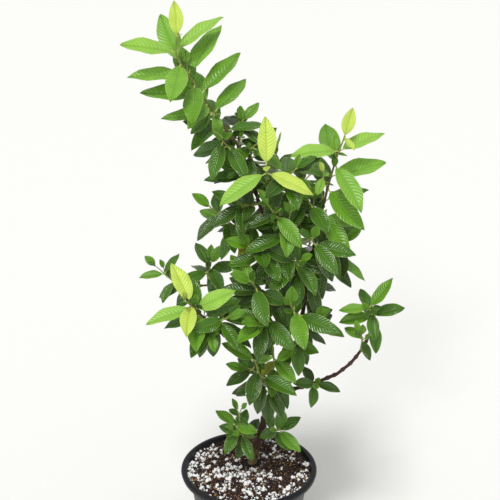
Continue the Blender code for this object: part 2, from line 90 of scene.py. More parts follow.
# Leaves: the sizes that every leaf shares, as shares of its own length.
LEAF_WIDTH = 0.385
TYPICAL_LEAF = 60 * MM
SLIMMING = 0.25
LEAF_THICKNESS = 0.024
SHOULDER = 0.88
SHARPNESS = 0.85
LEAST_WIDTH = 0.2
PETIOLE = 0.08
BLADE_START = PETIOLE + 0.05
LEAF_MIDDLE = 0.55
ROOT_DEPTH = 0.25
TIP_INSET = 1.2 * MM
PETIOLE_HALF_WIDTH = 1.1 * MM
PETIOLE_HALF_THICKNESS = 0.8 * MM
BLADE_STATIONS = (0.33, 0.71)
SMALL_LEAF = 34 * MM
SMALL_STATIONS = (0.5,)
FLAT_FOLD = math.radians(5)
LEAF_CLEARANCE = 0.5 * MM
AIM_TRIES = 12

# How a leaf is held, from the youngest pair at a shoot's tip to the oldest.
SPREAD = math.radians(62)
FACE_TILT = math.radians(64)
BACK_TILT = math.radians(20)
TIP_CROWDING = 0.90
QUARTER_TURN = math.radians(90)
FIRST_PAIR_PULL = 0.1
FIRST_PAIR_DROOP = 12
SECOND_PAIR_SIZE = 0.84
YOUNG_DROOP = 14
AGE_DROOP = 22
DROOP_SHARE = 0.5
STEM_LEAN = 0.25
LEVEL_ENOUGH = 0.66
UPRIGHT = 0.2

# What chance does to a leaf, in degrees and in shares, and what each new try adds.
TURN_CHANCE = 9
LIFT_CHANCE = 7
FACE_CHANCE = 16
DROOP_CHANCE = (-4, 6)
SIZE_CHANCE = (0.93, 1.05)
WIDTH_CHANCE = (0.92, 1.08)
TURN_RETRY = 8
LIFT_RETRY = 7
SIZE_RETRY = 0.02

# Limbs and twigs: how finely they are drawn, their leaf scars and the trunk's flared foot.
LIMB_STATION = 22 * MM
LIMB_SPACING = 1.6 * MM
TWIG_SPACING = 2.0 * MM
LIMB_SIDES = 22
TWIG_SIDES = 9
KNOT_REACH = 1.1
BURIED = 4 * MM
FIRST_SCAR = 0.7
SCAR_CHANCE = (0.75, 1.3)
LAST_SCAR = 2.0 * MM
FOOT_RELIEF = 0.6
STEM_SAMPLES = 12
WOOD_SIDES = 6
ROOT_FLARE = 1.2 * MM
ROOT_FLARE_HEIGHT = 9 * MM
FLARE_STATIONS = (0.45, 1.0, 1.8)
FLARE_CLEAR = 0.02

# The pot's dust and small curves, and how the mix lies in it.
DUST = (0.20, 0.19, 0.17)
TURNED_EDGE = math.radians(30)
CUT_EDGE = math.radians(40)
POT_SIDES = 128
DRILL_SIDES = 24
DRAIN_RING = 0.74
MOUTH_DEPTH = 5 * MM
SHOULDER_DEPTH = 10 * MM
FOOT_ROUND = 2.5 * MM
FLOOR_ROUND = 3 * MM
LIP_ROUND = 4 * MM
MOUTH_ROUND = 2 * MM
CROOK_ROUND = 1 * MM
CROOK_DEPTH = 6 * MM
MIX_GAP = 0.3 * MM
MIX_DRAFT = 0.4 * MM
MIX_SIDES = (11 * MM, 15 * MM)
MIX_SETTLED = 0.6 * MM
MIX_PRESSED = 1.5 * MM
PRESSED_FROM = 0.86
SWELL_SCALE, CRUMB_SCALE, PATCH_SCALE = 45, 170, 42
STEM_CLEAR = 10 * MM
STEM_FADE = 9 * MM
SCATTER_REACH = 0.985
POT_INSIDE = (5 * MM, 10 * MM, 15 * MM)
LUMPS = 6
FLAKE = (1.0, 0.42, 0.26)

# The view and the two suns: where they stand and the way they shine.
EYE = (0.0015, -1.320, 1.0027)
EYE_TILT = math.radians(69)
SENSOR_WIDTH = 36
KEY_COURSE = (0.12, 0.46, -0.88)
FRONT_COURSE = (0.30, 0.78, -0.55)
SKY_COLOUR = (1.0, 0.995, 0.975, 1)

UP = Vector((0, 0, 1))
SIDEWAYS = Vector((1, 0, 0))
LIGHT = Vector((0.05, -0.62, 0.78))


def metres(point):
    """A table's point, from millimetres to metres."""
    return Vector(point) * MM


def clamped(value, least=0.0):
    """A number held between the least and 1."""
    return max(least, min(1.0, value))


def either(dice, most):
    """A chance number, as likely below zero as above."""
    return dice.uniform(-most, most)


def circle(count):
    """Even turns round a circle."""
    return [2 * math.pi * k / count for k in range(count)]


@dataclass(frozen=True)
class Limb:
    """The trunk or a bough: one tapering limb that leafy shoots grow on from."""

    name: str
    parent: str
    at: float
    via: tuple
    girth: tuple
    flare: float = 0.0


# The mass that holds each shoot, by the shoot's name. The table below fills it.
MASSES = {}


@dataclass(frozen=True)
class Shoot:
    """A leafy shoot. The first shoot of a mass is its stem; the rest branch from it."""

    name: str
    parent: str
    at: float
    via: tuple
    pairs: int
    leaf: float
    roll: float = 0.0
    bare: float = 0.12
    girth: tuple = (1.6, 0.8)
    rise: float = 28.0
    sag: float = -30.0
    pull: float = 0.75
    faces: int = 1
    tip: float = 0.56
    splay: tuple = (16, 34)
    tips: tuple = (1, 0.6)
    aged: float = 0.82

    @property
    def mass(self):
        """The mass that holds the shoot: its parent's, or its own where it grows from a limb."""
        return MASSES.get(self.parent, f"mass_{self.name}")


LIMBS = (
    Limb("trunk", "", 0.0, ((4.5, 18, 149.3), (11, 16, 180), (22, 12, 223), (33, 8, 262),
                            (45.5, 5, 312)), (5.0, 4.3), ROOT_FLARE),
    Limb("leader_right", "trunk", 0.97, ((62, -4, 344), (70, -10, 376), (74, -14, 408)),
         (4.1, 3.5)),
    Limb("leader_left", "trunk", 0.95, ((55, 9, 350), (52, 12, 417), (37, 10, 485),
                                        (19, 0, 545)), (3.7, 2.6)),
    Limb("arch_lower", "trunk", 0.70, ((50, 0, 278), (90, -14, 299), (124, -20, 318)), (2.9, 2.3)),
    Limb("arch_upper", "arch_lower", 1.0, ((144, -21, 338), (160, -20, 363), (171, -16, 388)),
         (2.3, 1.8)),
    Limb("bough_left", "trunk", 0.82, ((18, -20, 334), (-4, -40, 363), (-33, -60, 397),
                                       (-52, -70, 420)), (3.0, 2.0)),
    Limb("bough_far_left", "leader_left", 0.36, ((10, 42, 400), (-50, 62, 418)), (2.6, 1.7)),
    Limb("bough_back", "leader_left", 0.22, ((60, 40, 392), (72, 66, 430)), (2.6, 1.8)),
    Limb("bough_back_high", "leader_left", 0.62, ((42, 36, 505), (40, 52, 530)), (2.4, 1.7)),
    Limb("bough_crown", "leader_left", 0.70, ((34, -12, 535), (27, -28, 570)), (2.4, 1.8)),
)

SHOOTS = (
    Shoot("plume", "leader_left", 1.0,
          ((-8, -5, 631), (-38, -5, 677), (-71, 0, 726), (-91, 0, 758), (-91, 0, 784)),
          18, 92, 108, 0.03, (2.3, 1.0), 36, -48, tip=0.51, splay=(12, 70), tips=(1, 0.45),
          aged=0.5),
    Shoot("plume_front", "plume", 0.54, ((-45, -26, 692), (-42, -40, 692)), 2, 48, 70, 0.4,
          rise=-20, sag=-60),
    Shoot("plume_left", "plume", 0.30, ((-32, -20, 652), (-34, -32, 662)), 4, 66, 30, 0.2, sag=-70),
    Shoot("plume_right", "plume", 0.36, ((-14, 12, 660), (-8, 18, 672)), 4, 62, 40, 0.2,
          rise=0, sag=-50),
    Shoot("plume_low", "plume", 0.14, ((-4, -14, 598), (-16, -18, 616)), 5, 64, 40, 0.2, sag=-70),
    Shoot("plume_side", "plume", 0.24, ((4, -10, 640), (12, -16, 650)), 4, 62, 60, 0.2,
          rise=10, sag=-60),

    Shoot("crown", "bough_crown", 1.0, ((23, -42, 602), (22, -56, 632)),
          6, 84, 94, 0.05, (1.8, 0.9), -30, -64, tip=0.72, splay=(20, 60), tips=(1, 0.32)),
    Shoot("crown_right", "crown", 0.22, ((46, -34, 606), (60, -38, 622)), 4, 64, 30, 0.3),
    Shoot("crown_left", "crown", 0.06, ((-2, -36, 572), (-16, -40, 578)), 4, 64, 20, 0.3),

    Shoot("right", "leader_right", 1.0,
          ((81, -15, 462), (89, -10, 510), (103, -5, 580), (114, 0, 621), (125, 0, 655)),
          15, 88, 114, 0.04, (3.0, 1.0), 18, -56, tip=0.46, splay=(8, 104), tips=(1, 0.75),
          aged=0.6),
    Shoot("right_bud", "right", 0.74, ((98, -16, 600), (97, -20, 613)), 2, 30, 0, 0.5, (1.2, 0.7)),
    Shoot("right_low", "right", 0.30, ((110, 0, 486), (128, 6, 506)), 4, 66, 45, 0.2),
    Shoot("right_front", "right", 0.42, ((86, -42, 520), (82, -56, 534)), 4, 68, 45, 0.3),
    Shoot("right_inner", "right", 0.52, ((86, -14, 558), (78, -20, 574)), 4, 62, 45, 0.2),

    Shoot("middle", "leader_left", 0.55,
          ((48, -26, 492), (48, -40, 530), (54, -46, 566)), 9, 70, 30, 0.1, (1.9, 0.9), 20, -50),
    Shoot("middle_left", "middle", 0.30, ((16, -46, 512), (0, -52, 522)), 5, 64, 60, 0.2),
    Shoot("middle_right", "middle", 0.22, ((62, -56, 500), (66, -70, 508)), 4, 64, 20, 0.3),
    Shoot("middle_top", "middle", 0.60, ((36, -50, 560), (25, -54, 578)), 4, 64, 70, 0.2,
          rise=0, sag=-70),

    Shoot("front", "leader_left", 0.38,
          ((40, -26, 432), (18, -62, 458), (2, -86, 486)), 8, 68, 50, 0.15, (2.0, 0.9), 20, -45),
    Shoot("front_low", "front", 0.35, ((22, -78, 426), (14, -96, 432)), 4, 66, 0, 0.3),

    Shoot("inner", "leader_right", 0.62,
          ((70, -40, 412), (60, -66, 434), (54, -80, 452)), 6, 68, 20, 0.12, (1.9, 0.9), 20, -50),
    Shoot("inner_right", "inner", 0.16, ((84, -44, 406), (92, -50, 418)), 3, 58, 45, 0.3),
    Shoot("inner_low", "inner", 0.12, ((62, -52, 380), (58, -62, 378)), 3, 56, 10, 0.3),

    Shoot("left", "bough_left", 1.0, ((-67, -87, 444), (-80, -106, 470)),
          5, 72, 225, 0.05, (2.0, 1.0), 30, -25, pull=0.35, tip=0.24),
    Shoot("left_inner", "left", 0.05, ((-40, -90, 430), (-26, -98, 442)), 5, 64, 30, 0.2),
    Shoot("left_under", "left", 0.10, ((-54, -88, 424), (-50, -98, 420)), 3, 56, 60, 0.3),

    Shoot("far_left", "bough_far_left", 1.0, ((-100, 74, 414), (-136, 82, 440)),
          6, 44, 20, 0.06, (1.7, 0.7), 20, -25),
    Shoot("far_left_up", "far_left", 0.10, ((-58, 60, 440), (-54, 54, 456)), 4, 56, 30, 0.2),

    Shoot("upper_left", "leader_left", 0.80,
          ((-9, -10, 527), (-40, -19, 554), (-51, -22, 565)), 6, 56, 30, 0.25, (1.6, 0.8), 15, -40),

    Shoot("low_front", "trunk", 0.74, ((30, -32, 298), (14, -68, 344), (8, -80, 370)),
          6, 62, 0, 0.25, (1.8, 0.9), 18, -50, tip=0.8, splay=(54, 62), tips=(1, 0.66)),
    Shoot("low_front_left", "low_front", 0.45, ((6, -52, 340), (-6, -58, 346)), 4, 52, 0, 0.2),
    Shoot("low_front_up", "low_front", 0.30, ((34, -44, 352), (32, -48, 374)), 4, 60, 45, 0.2),

    Shoot("arch_mid", "arch_lower", 0.60, ((93, -22, 303), (94, -27, 306)),
          3, 44, 45, 0.2, (1.3, 0.9), 20, -30, pull=0.4),
    Shoot("arch_tip", "arch_upper", 1.0, ((170, -18, 406), (164, -22, 421)),
          4, 56, 10, 0.1, (1.7, 0.9), 10, -30, tip=0.9, splay=(58, 68), tips=(1, 0.9)),
    Shoot("arch_twig", "arch_upper", 0.55, ((155, -34, 378), (153, -40, 388)),
          2, 38, 30, 0.4, (1.2, 0.8), 20, -20),

    Shoot("low_left", "trunk", 0.30, ((0, -6, 206), (-15, -26, 229), (-19, -32, 243)),
          4, 46, 0, 0.3, (1.5, 0.8), 0, -20, tip=0.86, splay=(80, 80), tips=(1, 1)),
    Shoot("low_left_spur", "low_left", 0.70, ((-13, -36, 262), (-10, -44, 276)),
          2, 26, 40, 0.3, (1.2, 0.7), 10, -20),
    Shoot("low_right", "trunk", 0.34, ((33, 4, 212), (45, -11, 222)),
          3, 52, 90, 0.35, (1.4, 0.8), 10, -20, pull=0.1, tip=0.86, splay=(50, 50), tips=(1, 1)),

    Shoot("back", "bough_back", 1.0, ((84, 84, 460), (92, 90, 492)),
          6, 66, 20, 0.1, (1.8, 0.9), 26, -45, faces=-1),
    Shoot("back_low", "back", 0.08, ((62, 90, 430), (46, 102, 442)), 4, 60, 50, 0.2, faces=-1),
    Shoot("back_high", "bough_back_high", 1.0, ((40, 76, 570), (38, 86, 606)),
          7, 66, 60, 0.05, (1.7, 0.9), 28, -45, faces=-1),
    Shoot("back_high_side", "back_high", 0.22, ((68, 72, 562), (84, 76, 578)),
          4, 60, 20, 0.3, faces=-1),
)

for one in SHOOTS:
    MASSES[one.name] = one.mass

# Leaf tones from the youngest to the oldest, and how a shoot's pairs run through them.
TONES = ("lime", "fresh", "bright", "green", "deep", "dark", "olive")
FLUSH = {"plume": (0, 1, 2, 2, 2, 3, 3, 3, 4, 4, 5, 5),
         "crown": (0, 1, 4, 3, 4, 4),
         "right": (0, 1, 2, 2, 3, 3, 3, 4, 4, 5),
         "left": (0, 0, 1, 3, 3),
         "right_bud": (0, 1),
         "arch_tip": (2, 3, 4)}
SETTLED = (3, 4, 4, 5)
OLDER_FROM = 0.80
YOUNGER_BELOW = 0.16

# How rough the wax on each tone is, and the leaves whose tone breaks the rule.
WAX = (0.50, 0.42, 0.32, 0.22, 0.13, 0.09, 0.36)
ODD_TONES = {("upper_left", 5, 0): "olive", ("upper_left", 4, 1): "olive",
             ("middle_left", 4, 1): "olive", ("low_front_left", 3, 0): "olive",
             ("right", 2, 1): "green", ("crown", 1, 1): "lime", ("low_front", 0, 1): "bright"}

# Buds: short twigs that break from the axils of a shoot's leaves.
BUD_CHANCE = 0.30
BUD_REACH = (7, 15)
BUD_LEAF = (13, 25)
BUD_GIRTH = (0.8, 0.5)
BUD_TURN = (0, 180)
BUD_PAIRS = (1, 2, 2)
LEAFWARD = 0.9
UPWARD = 0.3
BUD_CURVE = 0.12


def linear(code):
    """An sRGB hex colour as linear red, green and blue."""
    values = [int(code[k:k + 2], 16) / 255 for k in (1, 3, 5)]
    return tuple(v / 12.92 if v <= 0.04045 else ((v + 0.055) / 1.055) ** 2.4 for v in values)


def length_value(name, about, default):
    """A length that a user may change."""
    return FloatProperty(name=name, description=about, default=default, unit="LENGTH", precision=4)


def share_value(name, about, default):
    """A share between 0 and 1 that a user may change."""
    return FloatProperty(name=name, description=about, default=default, min=0, max=1,
                         subtype="FACTOR")


def count_value(name, about, default, least):
    """A whole number that a user may change."""
    return IntProperty(name=name, description=about, default=default, min=least)


def angle_value(name, about, degrees):
    """An angle that a user may change."""
    return FloatProperty(name=name, description=about, default=math.radians(degrees),
                         subtype="ANGLE")


def strength_value(name, about, default):
    """A light's strength that a user may change."""
    return FloatProperty(name=name, description=about, default=default, min=0)


def colour_value(name, about, code):
    """A colour that a user may change."""
    return FloatVectorProperty(name=name, description=about, default=linear(code), min=0, max=1,
                               subtype="COLOR")


class GuavaPotSizes(bpy.types.PropertyGroup):
    """Sizes of the nursery pot."""

    height: length_value("Height", "From the flat underside to the top of the rim", POT_HIGH.z)
    rim_radius: length_value("Rim radius", "Outside radius of the rolled rim", POT_HIGH.x)
    mouth_radius: length_value("Mouth radius", "Inside radius just under the rim", 92 * MM)
    neck_radius: length_value("Neck radius", "Outside radius of the wall under the rim", 86.5 * MM)
    neck_height: length_value("Neck height", "Where the wall flares out to the rim", 138 * MM)
    base_radius: length_value("Base radius", "Outside radius at the foot", 66 * MM)
    rim_depth: length_value("Rim depth", "Height of the rim's hanging skirt", 9 * MM)
    rim_draft: length_value("Rim draft", "How far the skirt's foot stands in", 1.2 * MM)
    wall: length_value("Wall", "Thickness of the moulded wall", 1.8 * MM)
    floor: length_value("Floor", "Thickness of the pot's floor", 3 * MM)
    drain_radius: length_value("Drain hole radius", "Radius of each hole in the floor", 6 * MM)
    drains: count_value("Drain holes", "How many holes ring the floor", 8, 0)


class GuavaMixSizes(bpy.types.PropertyGroup):
    """Sizes of the potting mix and what lies in it."""

    level: length_value("Soil level", "Height of the mix above the pot's underside", SOIL_HIGH.z)
    unevenness: length_value("Unevenness", "How far the mix's surface rises and falls", 1.6 * MM)
    grain_small: length_value("Smallest perlite", "Half width of the smallest grain", 0.5 * MM)
    grain_large: length_value("Largest perlite", "Half width of the largest grain", 3.4 * MM)
    grain_spacing: length_value("Perlite spacing", "Least distance between grains", 1.85 * MM)
    chip_small: length_value("Smallest chip", "Half length of the smallest bark chip", 1.6 * MM)
    chip_large: length_value("Largest chip", "Half length of the largest bark chip", 5.5 * MM)
    chip_spacing: length_value("Chip spacing", "Least distance between bark chips", 3.0 * MM)
    seed: count_value("Seed", "Another seed scatters the bits anew", 7, 0)


class GuavaLeafSizes(bpy.types.PropertyGroup):
    """Sizes that shape every leaf."""

    fold: angle_value("Fold", "How far each half of a blade lifts from the midrib", 15)
    wave: share_value("Wave", "Rise and fall of the margin, as a share of the leaf's length", 0.012)
    twist: angle_value("Twist", "Most that a blade turns about its midrib", 11)
    veins: count_value("Veins", "Side veins on each half of a blade", 13, 1)
    quilting: length_value("Quilting", "How far the blade stands up between its veins", 0.9 * MM)


class GuavaStemSizes(bpy.types.PropertyGroup):
    """Sizes that shape the bark and the young stems."""

    relief: share_value("Relief", "Height of the bark's lumps, as a share of the radius", 0.42)
    lump: length_value("Lump size", "Width of the bark's lumps", 3.6 * MM)
    knot: share_value("Knot", "How far a leaf node stands out, as a share of the radius", 0.42)
    internode: length_value("Internode", "Distance between leaf scars on the bare limbs", 14 * MM)


class GuavaColours(bpy.types.PropertyGroup):
    """Colours of the plant, its pot and its mix."""

    lime: colour_value("Lime", "Leaves that have just opened", "#CFE862")
    fresh: colour_value("Fresh", "Leaves of the newest full pair", "#98CA4A")
    bright: colour_value("Bright", "Leaves that still darken", "#7FB638")
    green: colour_value("Green", "Leaves of this year", "#689E23")
    deep: colour_value("Deep", "Full-grown leaves", "#457513")
    dark: colour_value("Dark", "The oldest leaves", "#335A0E")
    olive: colour_value("Olive", "Leaves that are about to drop", "#B9BC44")
    margin: colour_value("Margin", "The thin rim and the midrib of a leaf", "#CBD878")
    young_stem: colour_value("Young stem", "Stems beside the newest leaves", "#8E9A4C")
    red_stem: colour_value("Red stem", "Stems that turn to wood", "#452A19")
    bark: colour_value("Bark", "The trunk and the boughs", "#371D15")
    bark_tan: colour_value("Tan bark", "Where old bark has flaked off near the foot", "#85784E")
    pot: colour_value("Pot", "Black polypropylene", "#131418")
    peat: colour_value("Peat", "The fine part of the mix", "#190F0B")
    chip: colour_value("Bark chips", "Composted bark", "#38221A")
    chip_pale: colour_value("Pale chips", "Fresh bark and husk", "#8A6846")
    perlite: colour_value("Perlite", "Expanded volcanic glass", "#FBFAF8")
    floor: colour_value("Floor", "The floor under the pot", "#F7F7F5")


class GuavaStage(bpy.types.PropertyGroup):
    """The floor, the lights and the camera."""

    floor_width: length_value("Floor width", "Side of the plain floor", 40.0)
    key: strength_value("Key light", "Strength of the soft light from above", 1.50)
    key_width: angle_value("Key width", "How much of the sky the key light fills", 15)
    front: strength_value("Front light", "Strength of the lower light that glints on wax", 0.55)
    front_width: angle_value("Front width", "How much of the sky the front light fills", 9)
    sky: strength_value("Surroundings", "Strength of the even light all round", 0.56)
    lens: FloatProperty(name="Lens", description="The camera's focal length", default=74.95,
                        unit="CAMERA")


class Path:
    """A smooth line through a few points, with a radius that tapers along it."""

    FINE = 14

    def __init__(self, points, radius_foot, radius_tip, flare=0.0):
        self.points = self._smooth(points)
        self.marks = [0.0]
        for a, b in zip(self.points, self.points[1:]):
            self.marks.append(self.marks[-1] + (b - a).length)
        self.length = self.marks[-1]
        self.radius_foot = radius_foot
        self.radius_tip = radius_tip
        self.flare = flare

    def _smooth(self, points):
        """Catmull-Rom samples through the points, with both ends run straight on."""
        ends = [points[0] * 2 - points[1], *points, points[-1] * 2 - points[-2]]
        samples = []
        for i in range(1, len(ends) - 2):
            p0, p1, p2, p3 = ends[i - 1:i + 3]
            for step in range(self.FINE):
                t = step / self.FINE
                samples.append(0.5 * (2 * p1 + (p2 - p0) * t
                                      + (2 * p0 - 5 * p1 + 4 * p2 - p3) * t * t
                                      + (3 * p1 - p0 - 3 * p2 + p3) * t * t * t))
        return samples + [points[-1].copy()]

    def at(self, share):
        """The point and the direction at a share of the length."""
        distance = clamped(share) * self.length
        i = 1
        while i < len(self.marks) - 1 and self.marks[i] < distance:
            i += 1
        a, b = self.points[i - 1], self.points[i]
        span = self.marks[i] - self.marks[i - 1]
        return a.lerp(b, (distance - self.marks[i - 1]) / span), (b - a).normalized()

    def radius(self, share):
        """The radius there, with the flare that dies away above the foot."""
        taper = self.radius_foot + (self.radius_tip - self.radius_foot) * share
        return taper + self.flare * math.exp(-share * self.length / ROOT_FLARE_HEIGHT)

    def shares(self, station):
        """Evenly spaced shares of the length, with closer ones in the root flare."""
        count = max(2, round(self.length / station))
        even = [i / count for i in range(count + 1)]
        if not self.flare:
            return even
        close = [ROOT_FLARE_HEIGHT * k / self.length for k in FLARE_STATIONS]
        clear = close[-1] + FLARE_CLEAR
        return sorted([share for share in even if share == 0 or share > clear] + close)


def tube(path, sides, shares, swell=0.0):
    """Points and faces of a closed tapering tube."""
    rings = []
    _, along = path.at(0)
    out = along.orthogonal().normalized()
    for share in shares:
        point, direction = path.at(share)
        out = (out - direction * out.dot(direction)).normalized()
        aside = direction.cross(out)
        radius = path.radius(share) + swell
        rings.append([point + (out * math.cos(a) + aside * math.sin(a)) * radius
                      for a in circle(sides)])
    return skin(rings)


def skin(rings, tip=None):
    """Join rings of equal count into a closed surface, with flat ends or a pointed tip."""
    points = [point for ring in rings for point in ring]
    count = len(rings[0])
    faces = [tuple(reversed(range(count)))]
    for row in range(len(rings) - 1):
        for k in range(count):
            a, b = row * count + k, row * count + (k + 1) % count
            faces.append((a, b, b + count, a + count))
    last = (len(rings) - 1) * count
    if tip is None:
        faces.append(tuple(range(last, last + count)))
    else:
        points.append(tip)
        faces += [(last + k, last + (k + 1) % count, len(points) - 1) for k in range(count)]
    return points, faces


@dataclass
class Leaf:
    """One leaf: where it starts, how it points, how large it is and how old."""

    mass: str
    shoot: str
    rank: int
    side: int
    foot: Vector
    along: Vector
    face: Vector
    length: float
    droop: float
    width: float

    def midline(self, share):
        """The point on the arching midrib, and the direction and face normal there."""
        bend = self.droop * share
        reach = math.sin(bend) / self.droop
        fall = (1 - math.cos(bend)) / self.droop
        point = self.foot + (self.along * reach - self.face * fall) * self.length
        direction = self.along * math.cos(bend) - self.face * math.sin(bend)
        normal = self.face * math.cos(bend) + self.along * math.sin(bend)
        return point, direction, normal

    def half_width(self, share, sharpness=SHARPNESS):
        """Half the blade's width: rounded at its foot and drawn out to a point."""
        blade = (share - PETIOLE) / (1 - PETIOLE)
        if blade <= 0:
            return PETIOLE_HALF_WIDTH
        outline = math.sin(math.pi * blade ** SHOULDER) ** sharpness
        return max(0.5 * self.width * self.length * outline, LEAST_WIDTH * PETIOLE_HALF_WIDTH)

    def plain(self, swell, first):
        """Points and faces of the leaf's plain solid, which keeps its neighbours off."""
        stations = BLADE_STATIONS if self.length > SMALL_LEAF else SMALL_STATIONS
        rings = []
        for share in (first, *stations):
            point, direction, normal = self.midline(share)
            aside = direction.cross(normal)
            half = self.half_width(share)
            rise = half * math.tan(FLAT_FOLD)
            thick = LEAF_THICKNESS * self.length - rise
            rings.append([point - aside * (half + swell) + normal * (rise + swell),
                          point - normal * (thick + swell),
                          point + aside * (half + swell) + normal * (rise + swell)])
        tip, direction, _ = self.midline(1.0)
        return skin(rings, tip + direction * swell)

    def tone(self):
        """The place of the leaf's colour in the tones."""
        odd = ODD_TONES.get((self.shoot, self.rank, self.side))
        if odd:
            return TONES.index(odd)
        run = FLUSH.get(self.shoot, SETTLED)
        step = run[min(self.rank, len(run) - 1)]
        drift = random.Random(f"tone {self.shoot} {self.rank} {self.side}").random()
        if step > TONES.index("fresh"):
            step += (drift > OLDER_FROM) - (drift < YOUNGER_BELOW)
        return min(step, TONES.index("dark"))


def grown_path(part, paths):
    """The path of a limb or shoot, which starts on its parent's axis or on the mix."""
    points = [metres(point) for point in part.via]
    if part.parent:
        points.insert(0, paths[part.parent].at(part.at)[0])
    foot, tip = part.girth
    return Path(points, foot * MM, tip * MM, getattr(part, "flare", 0.0))


def skeleton():
    """The path of each limb and shoot, by name."""
    paths = {}
    for part in (*LIMBS, *SHOOTS):
        paths[part.name] = grown_path(part, paths)
    return paths


def pair_share(shoot, rank):
    """Where along its shoot a pair of leaves stands, counted from the tip."""
    if shoot.pairs == 1:
        return 1.0
    return 1 - (1 - shoot.bare) * (rank / shoot.pairs) ** TIP_CROWDING


def aimed_leaf(shoot, path, rank, side, attempt):
    """The leaf on one side of a pair; later attempts swing it away."""
    dice = random.Random(f"{shoot.name} {rank} {side} {attempt}")
    share = pair_share(shoot, rank)
    foot, direction = path.at(share - (TIP_INSET / path.length if rank == 0 else 0))
    sweep = path.at(1.0)[0] - path.at(0.0)[0]
    level = sweep.normalized().cross(UP)
    first = level if level.length > LEVEL_ENOUGH else SIDEWAYS
    first = (first - direction * first.dot(direction)).normalized()
    second = direction.cross(first)
    age = rank / max(shoot.pairs - 1, 1)
    turn = math.radians(shoot.roll) + QUARTER_TURN * rank
    swing = either(dice, TURN_CHANCE) + attempt * either(dice, TURN_RETRY)
    turn += math.radians(swing) + math.pi * side
    outward = first * math.cos(turn) + second * math.sin(turn)
    spread = SPREAD
    lift = math.radians(shoot.rise + (shoot.sag - shoot.rise) * age + either(dice, LIFT_CHANCE))
    lift += math.radians(attempt * either(dice, LIFT_RETRY))
    pull = shoot.pull
    size = 1.0 - (1.0 - shoot.aged) * age
    droop = math.radians(YOUNG_DROOP + AGE_DROOP * age + dice.uniform(*DROOP_CHANCE))
    if rank == 0:
        spread, droop = math.radians(shoot.splay[side]), math.radians(FIRST_PAIR_DROOP)
        pull = FIRST_PAIR_PULL
        size = shoot.tip * shoot.tips[side]
    elif rank == 1:
        size = SECOND_PAIR_SIZE
    size *= dice.uniform(*SIZE_CHANCE) * (1 - SIZE_RETRY * attempt)
    along = direction * math.cos(spread) + outward * math.sin(spread)
    level_part = Vector((along.x, along.y, 0))
    if level_part.length < UPRIGHT:
        level_part = Vector((outward.x, outward.y, 0))
    own_lift = math.asin(clamped(along.z, -1))
    lift = own_lift + (lift - own_lift) * pull + DROOP_SHARE * droop
    rear = shoot.faces * level_part.normalized().y
    lift += (BACK_TILT if rear > 0 else FACE_TILT) * rear * pull
    along = level_part.normalized() * math.cos(lift) + UP * math.sin(lift)
    lean = Vector((LIGHT.x, LIGHT.y * shoot.faces, LIGHT.z)) + direction * STEM_LEAN
    lean = Matrix.Rotation(math.radians(either(dice, FACE_CHANCE)), 3, along) @ lean
    face = (lean - along * lean.dot(along)).normalized()
    length = shoot.leaf * MM * size
    width = LEAF_WIDTH * dice.uniform(*WIDTH_CHANCE) * (TYPICAL_LEAF / length) ** SLIMMING
    foot = foot + along * path.radius(share) * ROOT_DEPTH
    return Leaf(shoot.mass, shoot.name, rank, side, foot, along, face, length, droop, width)


def nearest_mass(point, stems):
    """The mass whose stems pass closest to the point."""
    return min(stems, key=lambda mass: min((point - other).length_squared for other in stems[mass]))


def grow_pairs(shoots, paths, stems, wood, blades):
    """The shoots' leaves that keep to their mass's space and clear all that stands already."""
    leaves = []
    for rank in range(max(shoot.pairs for shoot in shoots)):
        for shoot in shoots:
            if rank >= shoot.pairs:
                continue
            for side in (0, 1):
                for attempt in range(AIM_TRIES):
                    leaf = aimed_leaf(shoot, paths[shoot.name], rank, side, attempt)
                    if nearest_mass(leaf.midline(LEAF_MIDDLE)[0], stems) != leaf.mass:
                        continue
                    blade = BVHTree.FromPolygons(*leaf.plain(LEAF_CLEARANCE, BLADE_START))
                    if any(blade.overlap(other) for other in wood + blades):
                        continue
                    leaves.append(leaf)
                    blades.append(blade)
                    break
    return leaves


def buds(paths):
    """Short leafy twigs in some of the axils, each aimed between its leaf and the stem."""
    made = []
    for shoot in SHOOTS:
        path = paths[shoot.name]
        for rank in range(1, shoot.pairs):
            for side in (0, 1):
                dice = random.Random(f"bud {shoot.name} {rank} {side}")
                if dice.random() > BUD_CHANCE:
                    continue
                share = pair_share(shoot, rank)
                foot, direction = path.at(share)
                leaf = aimed_leaf(shoot, path, rank, side, 0)
                aim = (direction + leaf.along * LEAFWARD + UP * UPWARD).normalized()
                reach = dice.uniform(*BUD_REACH) * MM
                via = [(foot + aim * reach * k + UP * reach * BUD_CURVE * k * k) / MM
                       for k in (0.5, 1.0)]
                made.append(replace(
                    shoot, name=f"{shoot.name}_bud_{rank}_{side}", parent=shoot.name, at=share,
                    via=tuple(tuple(point) for point in via), pairs=dice.choice(BUD_PAIRS),
                    leaf=dice.uniform(*BUD_LEAF), roll=dice.uniform(*BUD_TURN), bare=0.5,
                    girth=BUD_GIRTH, rise=30, sag=0, tip=0.9))
    return made


@functools.lru_cache(maxsize=1)
def plant():
    """The whole plant: the paths, the buds that carry leaves, and every leaf."""
    paths = skeleton()
    stems = {}
    for shoot in SHOOTS:
        path = paths[shoot.name]
        stems.setdefault(shoot.mass, []).extend(
            path.at(k / STEM_SAMPLES)[0] for k in range(STEM_SAMPLES + 1))
    wood = [BVHTree.FromPolygons(*tube(path, WOOD_SIDES, path.shares(LIMB_STATION), LEAF_CLEARANCE))
            for path in paths.values()]
    blades = []
    leaves = grow_pairs(SHOOTS, paths, stems, wood, blades)
    small = buds(paths)
    for bud in small:
        paths[bud.name] = grown_path(bud, paths)
    leaflets = grow_pairs(small, paths, stems, [], blades)
    leafy = {leaf.shoot for leaf in leaflets}
    return paths, [bud for bud in small if bud.name in leafy], leaves + leaflets


